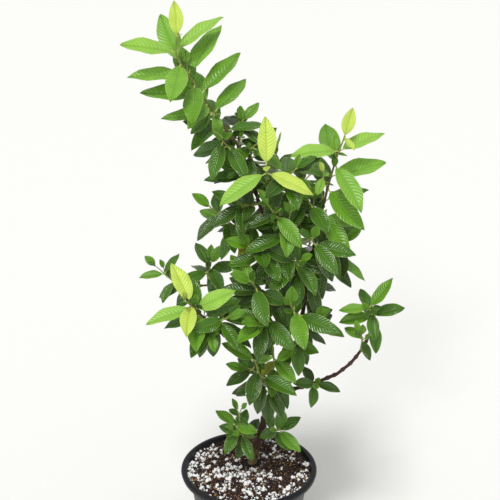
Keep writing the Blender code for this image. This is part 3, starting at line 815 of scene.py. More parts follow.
class Gathered:
    """Points, faces, material slots and pattern places of many like shapes in one mesh."""

    def __init__(self):
        self.points = []
        self.faces = []
        self.slots = []
        self.places = []

    def add(self, points, faces, slots, places):
        """Take in one more shape; places gives each point's place in the pattern."""
        base = len(self.points)
        self.points += points
        self.faces += [tuple(base + corner for corner in face) for face in faces]
        self.slots += slots
        self.places += places

    def mesh(self, name, sharp):
        """The gathered shapes as one smooth mesh with creases past an angle."""
        mesh = new_mesh(name, self.points, self.faces, sharp)
        layer = mesh.uv_layers.new(name="blade")
        for loop in mesh.loops:
            layer.uv[loop.index].vector = self.places[loop.vertex_index]
        mesh.polygons.foreach_set("material_index", self.slots)
        return mesh


BLADE_RINGS = (0.0, 0.04, 0.11, 0.21, 0.32, 0.43, 0.54, 0.65, 0.76, 0.86, 0.95)
BLADE_ACROSS = (-1.0, -0.55, 0.0, 0.55, 1.0)
LEAF_CREASE = math.radians(22)
UPPER, UNDER, STALK = range(3)
FOLD_CHANCE = (0.5, 1.3)
SICKLE = 0.03
BULGE = 0.10
WAVES = 2.3
MARGINS_APART = 1.4
KEEL = 0.45
KEEL_DEPTH = 0.010
BLADE_FOOT = 0.8
SHARPNESS_FROM, SHARPNESS_MORE = 0.72, 0.12
STALK_RINGS = (0.0, PETIOLE * 0.6, PETIOLE * 1.5)
STALK_SIDES = 5
STALK_SINK = 0.4
FULL_STALK_LEAF = 40 * MM


def blade_shape(leaf, sizes):
    """A leaf's blade: arched, folded at the midrib, waved at the margin and keeled below."""
    dice = random.Random(f"shape {leaf.shoot} {leaf.rank} {leaf.side}")
    fold = math.tan(sizes.fold * dice.uniform(*FOLD_CHANCE))
    twist = sizes.twist * either(dice, 1)
    phase = dice.uniform(0, 2 * math.pi)
    wave = sizes.wave * leaf.length
    sickle = either(dice, SICKLE) * leaf.length
    points, places = [], []
    for blade in BLADE_RINGS:
        share = PETIOLE + (1 - PETIOLE) * blade
        point, direction, normal = leaf.midline(share)
        turned = Matrix.Rotation(twist * blade, 3, direction)
        normal = turned @ normal
        aside = direction.cross(normal)
        point = point + aside * sickle * math.sin(math.pi * blade)
        half = leaf.half_width(share, SHARPNESS_FROM + SHARPNESS_MORE * blade)
        if blade == 0.0:
            half = PETIOLE_HALF_WIDTH * BLADE_FOOT
        for v in BLADE_ACROSS:
            out = abs(v)
            rise = half * (fold * (out - KEEL) + BULGE * math.sin(math.pi * min(out * 1.1, 1)))
            swell = math.sin(phase + 2 * math.pi * WAVES * blade + (MARGINS_APART if v > 0 else 0))
            rise += wave * out * out * swell
            points.append(point + aside * half * v + normal * rise)
            places.append((blade, 0.5 + 0.5 * v))
        points.append(point - normal * (half * fold * KEEL + KEEL_DEPTH * leaf.length))
        places.append((blade, 0.5))
    tip, _, _ = leaf.midline(1.0)
    points.append(tip)
    places.append((1.0, 0.5))
    # Each ring is five points across the upper face, from rim to rim, and one on the keel.
    keel, rim = len(BLADE_ACROSS), len(BLADE_ACROSS) - 1
    row = keel + 1
    faces = [(0, *range(keel, 0, -1))]
    for a in range(0, row * (len(BLADE_RINGS) - 1), row):
        b = a + row
        faces += [(a + j, a + j + 1, b + j + 1, b + j) for j in range(rim)]
        faces += [(a, b, b + keel, a + keel), (a + keel, b + keel, b + rim, a + rim)]
    end = len(points) - 1
    faces += [(b + j, b + j + 1, end) for j in range(rim)]
    faces += [(b, end, b + keel), (b + keel, end, b + rim)]
    slots = [UNDER] + ([UPPER] * rim + [UNDER] * 2) * len(BLADE_RINGS)
    return points, faces, slots, places


def stalk_shape(leaf):
    """The petiole: a short stalk from the stem into the blade's midrib."""
    rings = []
    for share in STALK_RINGS:
        point, direction, normal = leaf.midline(share)
        aside = direction.cross(normal)
        slim = min(1.0, leaf.length / FULL_STALK_LEAF) * (1.0 if share < PETIOLE else 0.75)
        rings.append([point - normal * PETIOLE_HALF_THICKNESS * STALK_SINK
                      + aside * math.sin(a) * PETIOLE_HALF_WIDTH * slim
                      + normal * math.cos(a) * PETIOLE_HALF_THICKNESS * slim
                      for a in circle(STALK_SIDES)])
    points, faces = skin(rings)
    return points, faces, [STALK] * len(faces), [(0.0, 0.5)] * len(points)


def feed(tree, node, inputs):
    """Give a node its inputs; each takes a value, a socket or another node."""
    for name, value in dict(inputs).items():
        if isinstance(value, bpy.types.Node):
            value = value.outputs[0]
        if isinstance(value, bpy.types.NodeSocket):
            tree.links.new(value, node.inputs[name])
        else:
            node.inputs[name].default_value = value


def add(tree, kind, inputs=(), **settings):
    """Add a node of a kind with its inputs and its settings."""
    made = tree.nodes.new(kind)
    for name, value in settings.items():
        setattr(made, name, value)
    feed(tree, made, inputs)
    return made


def calc(tree, operation, *inputs):
    """Add a node that works out one number."""
    return add(tree, "ShaderNodeMath", enumerate(inputs), operation=operation)


def span(tree, value, low, high, start=0.0, end=1.0, **settings):
    """Add a node that maps one range of numbers onto another."""
    return add(tree, "ShaderNodeMapRange", enumerate((value, low, high, start, end)), **settings)


def mixed(tree, share, *pair):
    """Add a node that mixes a pair of colours, and give its colour."""
    low, high = [tint if isinstance(tint, bpy.types.NodeSocket) else (*tint, 1) for tint in pair]
    return add(tree, "ShaderNodeMix", {0: share, 6: low, 7: high}, data_type="RGBA").outputs[2]


def specks(tree, scale, **values):
    """Add noise that stays fixed to the object."""
    spot = add(tree, "ShaderNodeTexCoord").outputs["Object"]
    return add(tree, "ShaderNodeTexNoise", {"Scale": scale, "Vector": spot, **values})


def bumps(tree, height, strength, distance):
    """Add a node that roughens a surface."""
    return add(tree, "ShaderNodeBump", {
        "Height": height, "Strength": strength, "Distance": distance})


def scaled(colour, factor):
    """A colour made darker or lighter."""
    return [min(1.0, part * factor) for part in colour]


def surface(name, roughness, **values):
    """A new material, its node tree and its shader with the values that are even all over."""
    material = bpy.data.materials.get(name) or bpy.data.materials.new(name)
    material.use_nodes = True
    tree = material.node_tree
    tree.nodes.clear()
    shader = add(tree, "ShaderNodeBsdfPrincipled", {"Roughness": roughness, **values})
    add(tree, "ShaderNodeOutputMaterial", {"Surface": shader})
    return material, tree, shader


def leaf_finish(name, blade, margin, sizes, wax, under=False):
    """A living leaf: a quilted upper face, glossier with age, or a matt and paler face below."""
    level = 0.5 if under else 0.66 - 0.3 * wax
    material, tree, shader = surface(name, 0.62, **{"IOR": 1.5, "Specular IOR Level": level})
    spot = add(tree, "ShaderNodeSeparateXYZ", {0: add(tree, "ShaderNodeUVMap", uv_map="blade")})
    side = calc(tree, "ABSOLUTE", calc(tree, "MULTIPLY_ADD", spot.outputs["Y"], 2.0, -1.0))
    # Side veins leave the midrib at about 60 degrees and curve forward to the margin.
    lag = calc(tree, "MULTIPLY_ADD", calc(tree, "POWER", side, 1.35), -0.15, spot.outputs["X"])
    phase = calc(tree, "FRACT", calc(tree, "MULTIPLY", lag, float(sizes.veins)))
    quilt = calc(tree, "POWER", calc(tree, "SINE", calc(tree, "MULTIPLY", phase, math.pi)), 0.55)
    # The quilting dies away into the midrib, and fine cells roughen it.
    middle = span(tree, side, 0.0, 0.16, 1.0, 0.0, interpolation_type="SMOOTHSTEP")
    height = calc(tree, "MULTIPLY", quilt, calc(tree, "MULTIPLY_ADD", middle, -1.0, 1.0))
    height = calc(tree, "MULTIPLY_ADD", specks(tree, 900.0, Detail=2.0), 0.16, height)
    # Clouds of tone about 15 mm wide, then paler veins, midrib and margin.
    base = mixed(tree, specks(tree, 65.0, Detail=2.0), scaled(blade, 0.80), scaled(blade, 1.16))
    # Veins stand out paler on dark leaves and greener on the youngest.
    young = clamped((blade[1] - 0.30) / 0.30)
    pale = [(0.66 * part + 0.34 * rim) * (1 - young) + part * 0.72 * young
            for part, rim in zip(blade, margin)]
    base = mixed(tree, span(tree, quilt, 0.0, 0.55, 0.36, 0.0), base, pale)
    base = mixed(tree, span(tree, side, 0.03, 0.09, 0.46, 0.0), base, pale)
    rim = span(tree, side, 0.90, 0.985, interpolation_type="SMOOTHSTEP")
    base = mixed(tree, calc(tree, "MULTIPLY", rim, 0.40), base, margin)
    depth = sizes.quilting * (-0.5 if under else 1.0)
    feed(tree, shader, {"Base Color": base, "Normal": bumps(tree, height, 0.9, depth)})
    if not under:
        feed(tree, shader, {"Roughness": span(tree, height, 0.0, 1.0, wax + 0.14, wax)})
    return material


def petiole_finish(colours):
    """Leaf stalks: soft, pale green and faintly downy."""
    material, tree, shader = surface("young_petiole", 0.5)
    down = mixed(tree, specks(tree, 400.0), colours.young_stem, colours.margin)
    feed(tree, shader, {"Base Color": down})
    return material


def bark_finish(colours):
    """Guava bark: smooth red-brown wood under thin flakes, tan where they fell at the foot."""
    material, tree, shader = surface("flaking_bark", 0.72)
    spot = add(tree, "ShaderNodeTexCoord").outputs["Object"]
    girth = add(tree, "ShaderNodeAttribute", attribute_name="girth").outputs["Fac"]
    # Flakes are 3 to 6 mm across, with a crack round each.
    flakes = specks(tree, 210.0, Detail=5.0, Roughness=0.65)
    edges = add(tree, "ShaderNodeTexVoronoi", {"Scale": 300.0, "Vector": spot},
                feature="DISTANCE_TO_EDGE")
    tone = span(tree, flakes, 0.34, 0.68)
    bark = mixed(tree, tone, scaled(colours.bark, 0.45), scaled(colours.bark, 2.1))
    # Old flakes have dropped from the trunk's lowest 35 mm.
    height = add(tree, "ShaderNodeSeparateXYZ", {0: spot}).outputs["Z"]
    low = span(tree, height, 0.158, 0.184, 0.9, 0.0)
    bare = calc(tree, "MULTIPLY", low, span(tree, flakes, 0.34, 0.50))
    bark = mixed(tree, bare, bark, colours.bark_tan)
    # Thin wood is red, and the thinnest is still green.
    bark = mixed(tree, span(tree, girth, 1.6 * MM, 2.8 * MM, 0.9, 0.0), bark, colours.red_stem)
    bark = mixed(tree, span(tree, girth, 0.9 * MM, 1.9 * MM, 1.0, 0.0), bark, colours.young_stem)
    relief = calc(tree, "MULTIPLY_ADD", span(tree, edges, 0.0, 0.12), 0.5, flakes)
    feed(tree, shader, {"Base Color": bark, "Normal": bumps(tree, relief, 0.8, 0.7 * MM)})
    return material


def pot_finish(colours):
    """Injection-moulded black polypropylene: satin, with a faint haze of dust and scuffs."""
    material, tree, shader = surface("moulded_polypropylene", 0.4, **{
        "IOR": 1.49, "Specular IOR Level": 0.3})
    dust = specks(tree, 38.0, Detail=6.0, Roughness=0.6)
    haze = span(tree, dust, 0.42, 0.80, 0.0, 0.04)
    # The mould's fine texture, about 0.4 mm, drawn a little coarse so that it shows.
    grain = bumps(tree, specks(tree, 1400.0), 0.25, 0.1 * MM)
    feed(tree, shader, {"Base Color": mixed(tree, haze, colours.pot, DUST), "Normal": grain,
                        "Roughness": span(tree, dust, 0.35, 0.75, 0.36, 0.55)})
    return material


def grainy_finish(name, colour, spread, grain_size, roughness, depth):
    """A dull, crumbly stuff whose tone wanders from lump to lump."""
    material, tree, shader = surface(name, roughness)
    lumps = specks(tree, 0.6 / grain_size, Detail=4.0, Roughness=0.7)
    tone = span(tree, lumps, 0.32, 0.68)
    base = mixed(tree, tone, scaled(colour, 1 - spread), scaled(colour, 1 + spread))
    feed(tree, shader, {"Base Color": base, "Normal": bumps(tree, lumps, 0.7, depth)})
    return material


def new_object(name, data):
    """A new object in the scene."""
    made = bpy.data.objects.new(name, data)
    bpy.context.scene.collection.objects.link(made)
    return made


def new_mesh(name, points, faces, sharp=None):
    """A mesh from points and faces, smooth up to a sharp angle where one is given."""
    mesh = bpy.data.meshes.new(name)
    mesh.from_pydata([tuple(point) for point in points], [], faces)
    if sharp is not None:
        mesh.shade_smooth()
        mesh.set_sharp_from_angle(angle=sharp)
    return mesh


def changed_mesh(thing):
    """What an object's modifiers make of its mesh."""
    seen = thing.evaluated_get(bpy.context.evaluated_depsgraph_get())
    return bpy.data.meshes.new_from_object(seen)


def discard(*things):
    """Remove objects together with their meshes."""
    for thing in things:
        shape = thing.data
        bpy.data.objects.remove(thing)
        bpy.data.meshes.remove(shape)


def mark_points(mesh, **values):
    """Keep a number on each point of a mesh, under each name."""
    for label, numbers in values.items():
        mesh.attributes.new(label, "FLOAT", "POINT").data.foreach_set("value", numbers)


def new_tree(name, sockets):
    """A new node group that changes a shape, with named inputs of each kind for its sizes."""
    tree = bpy.data.node_groups.new(name, "GeometryNodeTree")
    for kind, labels in {"Geometry": ["Geometry"], **sockets}.items():
        for label in labels:
            tree.interface.new_socket(label, in_out="INPUT", socket_type=f"NodeSocket{kind}")
    tree.interface.new_socket("Geometry", in_out="OUTPUT", socket_type="NodeSocketGeometry")
    return tree, add(tree, "NodeGroupInput").outputs


def kept_number(tree, name):
    """Add a node that reads a number kept on the points."""
    return add(tree, "GeometryNodeInputNamedAttribute", {"Name": name}, data_type="FLOAT")


def chance(tree, seed, kind, **ends):
    """Add a node that draws a number or a vector by chance; low and high are its ends."""
    out, low, high = {"FLOAT_VECTOR": (0, 0, 1), "FLOAT": (1, 2, 3), "INT": (2, 4, 5)}[kind]
    inputs = {slot: ends[end] for slot, end in ((low, "low"), (high, "high")) if end in ends}
    return add(tree, "FunctionNodeRandomValue", {**inputs, "Seed": seed},
               data_type=kind).outputs[out]


def stretched(tree, vector, factor):
    """Add a node that scales a vector."""
    return add(tree, "ShaderNodeVectorMath", {0: vector, "Scale": factor}, operation="SCALE")


def finished(tree, shape, smooth, material):
    """End a node group: shade what it made, make it real and give it its material."""
    shape = add(tree, "GeometryNodeRealizeInstances", {"Geometry": shape})
    shape = add(tree, "GeometryNodeSetShadeSmooth", {"Geometry": shape, "Shade Smooth": smooth})
    shape = add(tree, "GeometryNodeSetMaterial", {"Geometry": shape, "Material": material})
    add(tree, "NodeGroupOutput", {"Geometry": shape})
    return tree


def grown_mesh(name, mesh, tree, values):
    """Run a node group over a mesh and keep what it makes as a plain mesh."""
    carrier = new_object(name, mesh)
    change = carrier.modifiers.new(tree.name, "NODES")
    change.node_group = tree
    for item in tree.interface.items_tree:
        if item.in_out == "INPUT" and item.name in values:
            change[item.identifier] = values[item.name]
    made = changed_mesh(carrier)
    carrier.modifiers.clear()
    discard(carrier)
    if not made.polygons:
        raise RuntimeError(f"{name} came out empty")
    made.name = name
    return made


def limb_tree():
    """Closed tubes along paths, swollen at the knots and rough with bark."""
    tree, given = new_tree("bark_along_paths", {
        "Int": ["Sides"], "Float": ["Relief", "Lump size", "Knot", "Seed"],
        "Material": ["Material"]})
    girth, knots = kept_number(tree, "girth"), kept_number(tree, "knot")
    curve = add(tree, "GeometryNodeMeshToCurve", {"Mesh": given["Geometry"]})
    ring = add(tree, "GeometryNodeCurvePrimitiveCircle", {
        "Resolution": given["Sides"], "Radius": 1.0})
    bark = add(tree, "GeometryNodeCurveToMesh", {
        "Curve": curve, "Profile Curve": ring, "Scale": girth, "Fill Caps": True})
    fine = calc(tree, "DIVIDE", 1.0, given["Lump size"])
    lumps = add(tree, "ShaderNodeTexNoise", {"W": given["Seed"], "Scale": fine, "Detail": 3.0,
                                             "Roughness": 0.6}, noise_dimensions="4D")
    height = calc(tree, "MULTIPLY", calc(tree, "SUBTRACT", lumps, 0.5), given["Relief"])
    ridge = calc(tree, "MULTIPLY_ADD", knots, given["Knot"], height)
    reach = calc(tree, "MULTIPLY", ridge, girth)
    move = stretched(tree, add(tree, "GeometryNodeInputNormal"), reach)
    bark = add(tree, "GeometryNodeSetPosition", {"Geometry": bark, "Offset": move})
    return finished(tree, bark, True, given["Material"])


def path_lines(name, runs):
    """Bare lines for the paths, with the girth and the knots kept on their points."""
    points, edges, girths, knots = [], [], [], []
    for path, spacing, swellings, drop in runs:
        count = max(3, round(path.length / spacing))
        for k in range(count + 1):
            share = k / count
            point, _ = path.at(share)
            if k == 0:
                point = point - UP * drop
            along = share * path.length
            reach = KNOT_REACH * path.radius(share)
            knot = sum(math.exp(-((along - mark) / reach) ** 2) for mark in swellings)
            points.append(tuple(point))
            girths.append(path.radius(share))
            knots.append(min(knot, 1.0))
            if k:
                edges.append((len(points) - 2, len(points) - 1))
    mesh = bpy.data.meshes.new(name)
    mesh.from_pydata(points, edges, [])
    mark_points(mesh, girth=girths, knot=knots)
    return mesh


def bits_tree():
    """Lumpy bits scattered over a surface, of many sizes and turned every way."""
    tree, given = new_tree("bits_over_surface", {
        "Float": ["Spacing", "Smallest", "Largest", "Rarity", "Lumpiness", "Tilt", "Sink"],
        "Vector": ["Stretch"], "String": ["Cover"], "Bool": ["Smooth"], "Int": ["Seed"],
        "Material": ["Material"]})
    cover = kept_number(tree, given["Cover"])
    spots = add(tree, "GeometryNodeDistributePointsOnFaces", {
        "Mesh": given["Geometry"], "Distance Min": given["Spacing"], "Density Max": 4.0e5,
        "Density Factor": cover, "Seed": given["Seed"]}, distribute_method="POISSON")
    ball = add(tree, "GeometryNodeMeshUVSphere", {"Segments": 7, "Rings": 5, "Radius": 1.0})
    shapes = add(tree, "GeometryNodeJoinGeometry")
    for number in range(LUMPS):
        dents = add(tree, "ShaderNodeTexNoise", {"W": 3.7 * number, "Scale": 1.3, "Detail": 2.0},
                    noise_dimensions="4D")
        push = add(tree, "ShaderNodeVectorMath", {0: dents.outputs[1], 1: (0.5, 0.5, 0.5)},
                   operation="SUBTRACT")
        push = stretched(tree, push, given["Lumpiness"])
        lump = add(tree, "GeometryNodeSetPosition", {"Geometry": ball, "Offset": push})
        feed(tree, shapes, {0: add(tree, "GeometryNodeGeometryToInstance", {0: lump})})
    few = calc(tree, "POWER", chance(tree, 11, "FLOAT"), given["Rarity"])
    size = span(tree, few, 0.0, 1.0, given["Smallest"], given["Largest"])
    uneven = chance(tree, 12, "FLOAT_VECTOR", low=[0.75] * 3, high=[1.15] * 3)
    scale = add(tree, "ShaderNodeVectorMath", {0: uneven, 1: given["Stretch"]},
                operation="MULTIPLY")
    scale = stretched(tree, scale, size)
    tilt = calc(tree, "MULTIPLY", given["Tilt"], -1.0)
    low = add(tree, "ShaderNodeCombineXYZ", {0: tilt, 1: tilt, 2: -math.pi})
    high = add(tree, "ShaderNodeCombineXYZ", {0: given["Tilt"], 1: given["Tilt"], 2: math.pi})
    turn = chance(tree, 13, "FLOAT_VECTOR", low=low, high=high)
    pick = chance(tree, 14, "INT", low=0, high=LUMPS - 1)
    drop = add(tree, "ShaderNodeCombineXYZ", {2: calc(tree, "MULTIPLY", size, given["Sink"])})
    seated = add(tree, "GeometryNodeSetPosition", {"Geometry": spots, "Offset": drop})
    bits = add(tree, "GeometryNodeInstanceOnPoints", {
        "Points": seated, "Instance": shapes, "Pick Instance": True, "Instance Index": pick,
        "Rotation": turn, "Scale": scale})
    return finished(tree, bits, given["Smooth"], given["Material"])


def place(name, mesh, materials=(), nodes=()):
    """Show a finished mesh as a piece that rides on the pot's body and stands for CAD nodes."""
    for material in materials:
        mesh.materials.append(material)
    mesh.name = name
    piece = new_object(name, mesh)
    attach(piece, BODY)
    if nodes:
        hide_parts(*nodes)
    return piece


def turned_ring(radius, height, sides):
    """Points at one height round the vertical axis."""
    return [(radius * math.cos(a), radius * math.sin(a), height) for a in circle(sides)]


def turned_mesh(name, profile, sides):
    """A closed solid turned about the vertical axis from a profile of radius and height."""
    rings = [turned_ring(radius, height, sides) for radius, height in profile]
    return new_mesh(name, *skin(rings), TURNED_EDGE)


def pot_inner_radius(pot, height):
    """The inside radius of the pot's tapering wall, which flares out at the mouth."""
    slope = (pot.neck_radius - pot.base_radius) / pot.neck_height
    mouth = pot.height - MOUTH_DEPTH
    shoulder = mouth - SHOULDER_DEPTH
    if height <= shoulder:
        return pot.base_radius - pot.wall + slope * height
    start = pot.base_radius - pot.wall + slope * shoulder
    share = min((height - shoulder) / (mouth - shoulder), 1)
    return start + (pot.mouth_radius - start) * share


def arc(centre, radius, start, end, steps):
    """Points of radius and height round a rounded edge, with angles in degrees."""
    angles = [math.radians(start + (end - start) * k / steps) for k in range(steps + 1)]
    return [(centre[0] + radius * math.cos(a), centre[1] + radius * math.sin(a)) for a in angles]


def ground_height(x, y, mix, pot_radius):
    """The uneven surface of the mix, pressed down a little where it meets the wall."""
    rise = noise.fractal(Vector((x, y, 0.3)) * SWELL_SCALE, 1.0, 2.0, 3) * mix.unevenness
    rise += noise.noise(Vector((x, y, 4.0)) * CRUMB_SCALE) * mix.unevenness * 0.5
    edge = max(0.0, math.hypot(x, y) / pot_radius - PRESSED_FROM) / (1 - PRESSED_FROM)
    return mix.level - MIX_SETTLED + rise - MIX_PRESSED * edge


class GUAVA_OT_pot(bpy.types.Operator):
    """Turn the nursery pot, with its rolled rim and the drain holes in its floor"""

    bl_idname = "guava.pot"
    bl_label = "Nursery pot"
    bl_options = {"REGISTER", "UNDO"}

    def execute(self, context):
        pot = context.scene.guava_pot
        skirt_foot = pot.height - pot.rim_depth
        skirt_inside = pot.rim_radius - pot.rim_draft - pot.wall
        crook = pot.height - CROOK_DEPTH
        bead = pot.wall / 2
        outside = arc((pot.base_radius - FOOT_ROUND, FOOT_ROUND), FOOT_ROUND, -90, 0, 4)
        outside += [(pot.neck_radius, pot.neck_height),
                    (pot.mouth_radius + 1.6 * MM, crook - 1.5 * MM)]
        outside += arc((skirt_inside - CROOK_ROUND, crook - CROOK_ROUND), CROOK_ROUND, 90, 0, 3)
        outside += arc((skirt_inside + bead, skirt_foot + bead), bead, 180, 360, 6)
        outside += arc((pot.rim_radius - LIP_ROUND, pot.height - LIP_ROUND), LIP_ROUND, 0, 90, 8)
        outside += arc((pot.mouth_radius + MOUTH_ROUND, pot.height - MOUTH_ROUND), MOUTH_ROUND, 90,
                       180, 4)
        inside = [(pot_inner_radius(pot, height), height)
                  for height in (pot.height - depth for depth in POT_INSIDE)]
        inside += arc((pot_inner_radius(pot, 0) - FLOOR_ROUND, pot.floor + FLOOR_ROUND),
                      FLOOR_ROUND, 0, -90, 3)
        blank = new_object("blank", turned_mesh("nursery_pot", outside + inside, POT_SIDES))
        drills = bpy.data.collections.new("drills")
        for number in range(pot.drains):
            angle = 2 * math.pi * (number + 0.5) / pot.drains
            drill = turned_mesh("drill", [(pot.drain_radius, -1 * MM),
                                          (pot.drain_radius, 2 * pot.floor)], DRILL_SIDES)
            drill.transform(Matrix.Translation((
                DRAIN_RING * pot.base_radius * math.cos(angle),
                DRAIN_RING * pot.base_radius * math.sin(angle), 0)))
            drills.objects.link(bpy.data.objects.new("drill", drill))
        cut = blank.modifiers.new("drain_holes", "BOOLEAN")
        cut.operand_type, cut.collection, cut.solver = "COLLECTION", drills, "EXACT"
        made = changed_mesh(blank)
        discard(blank, *drills.objects)
        bpy.data.collections.remove(drills)
        made.materials.clear()
        made.set_sharp_from_angle(angle=CUT_EDGE)
        place("nursery_pot", made, [pot_finish(context.scene.guava_colours)], ["pot"])
        return {"FINISHED"}


class GUAVA_OT_mix(bpy.types.Operator):
    """Fill the pot with potting mix and scatter perlite and bark chips over it"""

    bl_idname = "guava.mix"
    bl_label = "Potting mix"
    bl_options = {"REGISTER", "UNDO"}

    RINGS = 44
    TURNS = 96

    def execute(self, context):
        scene = context.scene
        pot, mix, colours = scene.guava_pot, scene.guava_mix, scene.guava_colours
        wide = pot_inner_radius(pot, mix.level) - MIX_GAP
        peat = grainy_finish("damp_peat", colours.peat, 0.6, 3 * MM, 0.95, 1.2 * MM)
        place("potting_mix", self.body(pot, mix, wide), [peat], ["soil"])
        bits = bits_tree()
        foot = Vector(LIMBS[0].via[0]).xy * MM
        brown = grainy_finish("composted_bark", colours.chip, 0.55, 2 * MM, 0.88, 0.5 * MM)
        chips = {"Spacing": mix.chip_spacing, "Smallest": mix.chip_small, "Largest": mix.chip_large,
                 "Rarity": 2.0, "Stretch": FLAKE, "Lumpiness": 1.1, "Tilt": 0.5, "Sink": 0.1,
                 "Cover": "chip_cover", "Smooth": False, "Material": brown}
        batches = {
            "perlite_grains": {
                "Spacing": mix.grain_spacing, "Smallest": mix.grain_small,
                "Largest": mix.grain_large, "Rarity": 3.4, "Stretch": (1.0, 0.88, 0.80),
                "Lumpiness": 1.25, "Tilt": math.pi, "Sink": 0.25, "Cover": "perlite_cover",
                "Smooth": True, "Material": grainy_finish(
                    "expanded_perlite", colours.perlite, 0.07, 1.2 * MM, 0.9, 0.4 * MM)},
            "bark_chips": chips,
            "husk_chips": {
                **chips, "Spacing": mix.chip_spacing * 1.5, "Smallest": mix.chip_small * 0.8,
                "Largest": mix.chip_large * 0.8, "Rarity": 2.2, "Tilt": 0.6, "Sink": 0.2,
                "Material": grainy_finish(
                    "fresh_husk", colours.chip_pale, 0.4, 2 * MM, 0.88, 0.5 * MM)},
        }
        for number, (name, values) in enumerate(batches.items()):
            made = grown_mesh(name, self.top(mix, wide * SCATTER_REACH, foot), bits,
                              {**values, "Seed": mix.seed + number})
            place(name, made)
        return {"FINISHED"}

    def rings(self, mix, wide):
        """The surface's points, ring by ring from the middle."""
        rows = [turned_ring(wide * ring / self.RINGS, 0, self.TURNS)
                for ring in range(1, self.RINGS + 1)]
        return [[(x, y, ground_height(x, y, mix, wide)) for x, y, _ in row] for row in rows]

    def surface_faces(self, count, centre):
        """Faces that fan out from the middle point and run ring by ring to the edge."""
        turns = self.TURNS
        faces = [(centre, k, (k + 1) % turns) for k in range(turns)]
        for row in range(count - 1):
            a = row * turns
            faces += [(a + k, a + turns + k, a + turns + (k + 1) % turns, a + (k + 1) % turns)
                      for k in range(turns)]
        return faces

    def top(self, mix, wide, foot):
        """The surface alone, with how thickly perlite and chips lie on it."""
        rows = self.rings(mix, wide)
        points = [point for row in rows for point in row] + [(0, 0, ground_height(0, 0, mix, wide))]
        mesh = new_mesh("surface", points, self.surface_faces(len(rows), len(points) - 1))
        grains, chips = [], []
        for x, y, _ in points:
            near = (Vector((x, y)) - foot).length
            patch = noise.fractal(Vector((x, y, 9.0)) * PATCH_SCALE, 0.8, 2.0, 4)
            clear = clamped((near - STEM_CLEAR) / STEM_FADE)
            front = 0.5 - 0.5 * y / wide
            # Perlite lies thickest to the front and the left, and chips where it is thin.
            grains.append(clamped(0.12 + 0.50 * front - 1.5 * x + 1.6 * patch) * clear)
            chips.append(clamped(0.55 - 0.5 * patch) * clear)
        mark_points(mesh, perlite_cover=grains, chip_cover=chips)
        return mesh

    def body(self, pot, mix, wide):
        """The closed body of mix: the uneven top, the side along the wall and the floor."""
        rows = self.rings(mix, wide)
        low = pot.floor + MIX_GAP
        sides = [pot.height - depth for depth in MIX_SIDES]
        for height in (*sides, mix.level * 0.5, low + FLOOR_ROUND, low):
            radius = pot_inner_radius(pot, height) - (FLOOR_ROUND if height == low else 0)
            rows.append(turned_ring(radius - MIX_DRAFT, height, self.TURNS))
        points = [point for row in rows for point in row] + [(0, 0, ground_height(0, 0, mix, wide))]
        faces = self.surface_faces(len(rows), len(points) - 1)
        last = (len(rows) - 1) * self.TURNS
        faces.append(tuple(last + k for k in reversed(range(self.TURNS))))
        mesh = new_mesh("potting_mix", points, faces)
        mesh.shade_smooth()
        return mesh


class GUAVA_OT_limbs(bpy.types.Operator):
    """Grow the trunk and the boughs, with bark relief and leaf scars"""

    bl_idname = "guava.limbs"
    bl_label = "Trunk and boughs"
    bl_options = {"REGISTER", "UNDO"}

    def execute(self, context):
        stems = context.scene.guava_stems
        paths, _, _ = plant()
        tree = limb_tree()
        bark = bark_finish(context.scene.guava_colours)
        for number, limb in enumerate(LIMBS):
            path = paths[limb.name]
            dice = random.Random(f"scars {limb.name}")
            scars, along = [], stems.internode * FIRST_SCAR
            while along < path.length - LAST_SCAR:
                scars.append(along)
                along += stems.internode * dice.uniform(*SCAR_CHANCE)
            buried, relief = (BURIED, FOOT_RELIEF) if limb.flare else (0.0, 1.0)
            line = path_lines(limb.name, [(path, LIMB_SPACING, scars, buried)])
            made = grown_mesh(limb.name, line, tree, {
                "Sides": LIMB_SIDES, "Relief": stems.relief * relief, "Lump size": stems.lump,
                "Knot": stems.knot, "Seed": 5.0 * number, "Material": bark})
            place(f"bark_{limb.name}", made, nodes=[limb.name])
        return {"FINISHED"}


class GUAVA_OT_twigs(bpy.types.Operator):
    """Grow the leafy stems and the buds' fine twigs, thicker at each pair of leaves"""

    bl_idname = "guava.twigs"
    bl_label = "Twigs"
    bl_options = {"REGISTER", "UNDO"}

    def execute(self, context):
        stems = context.scene.guava_stems
        paths, small, _ = plant()
        runs = []
        for shoot in (*SHOOTS, *small):
            path = paths[shoot.name]
            marks = [pair_share(shoot, rank) * path.length for rank in range(shoot.pairs)]
            runs.append((path, TWIG_SPACING, marks, 0.0))
        made = grown_mesh("twigs", path_lines("twigs", runs), limb_tree(), {
            "Sides": TWIG_SIDES, "Relief": stems.relief * 0.4, "Lump size": stems.lump * 0.7,
            "Knot": stems.knot * 1.2, "Seed": 91.0,
            "Material": bark_finish(context.scene.guava_colours)})
        place("twigs", made, nodes=dict.fromkeys(MASSES.values()))
        return {"FINISHED"}


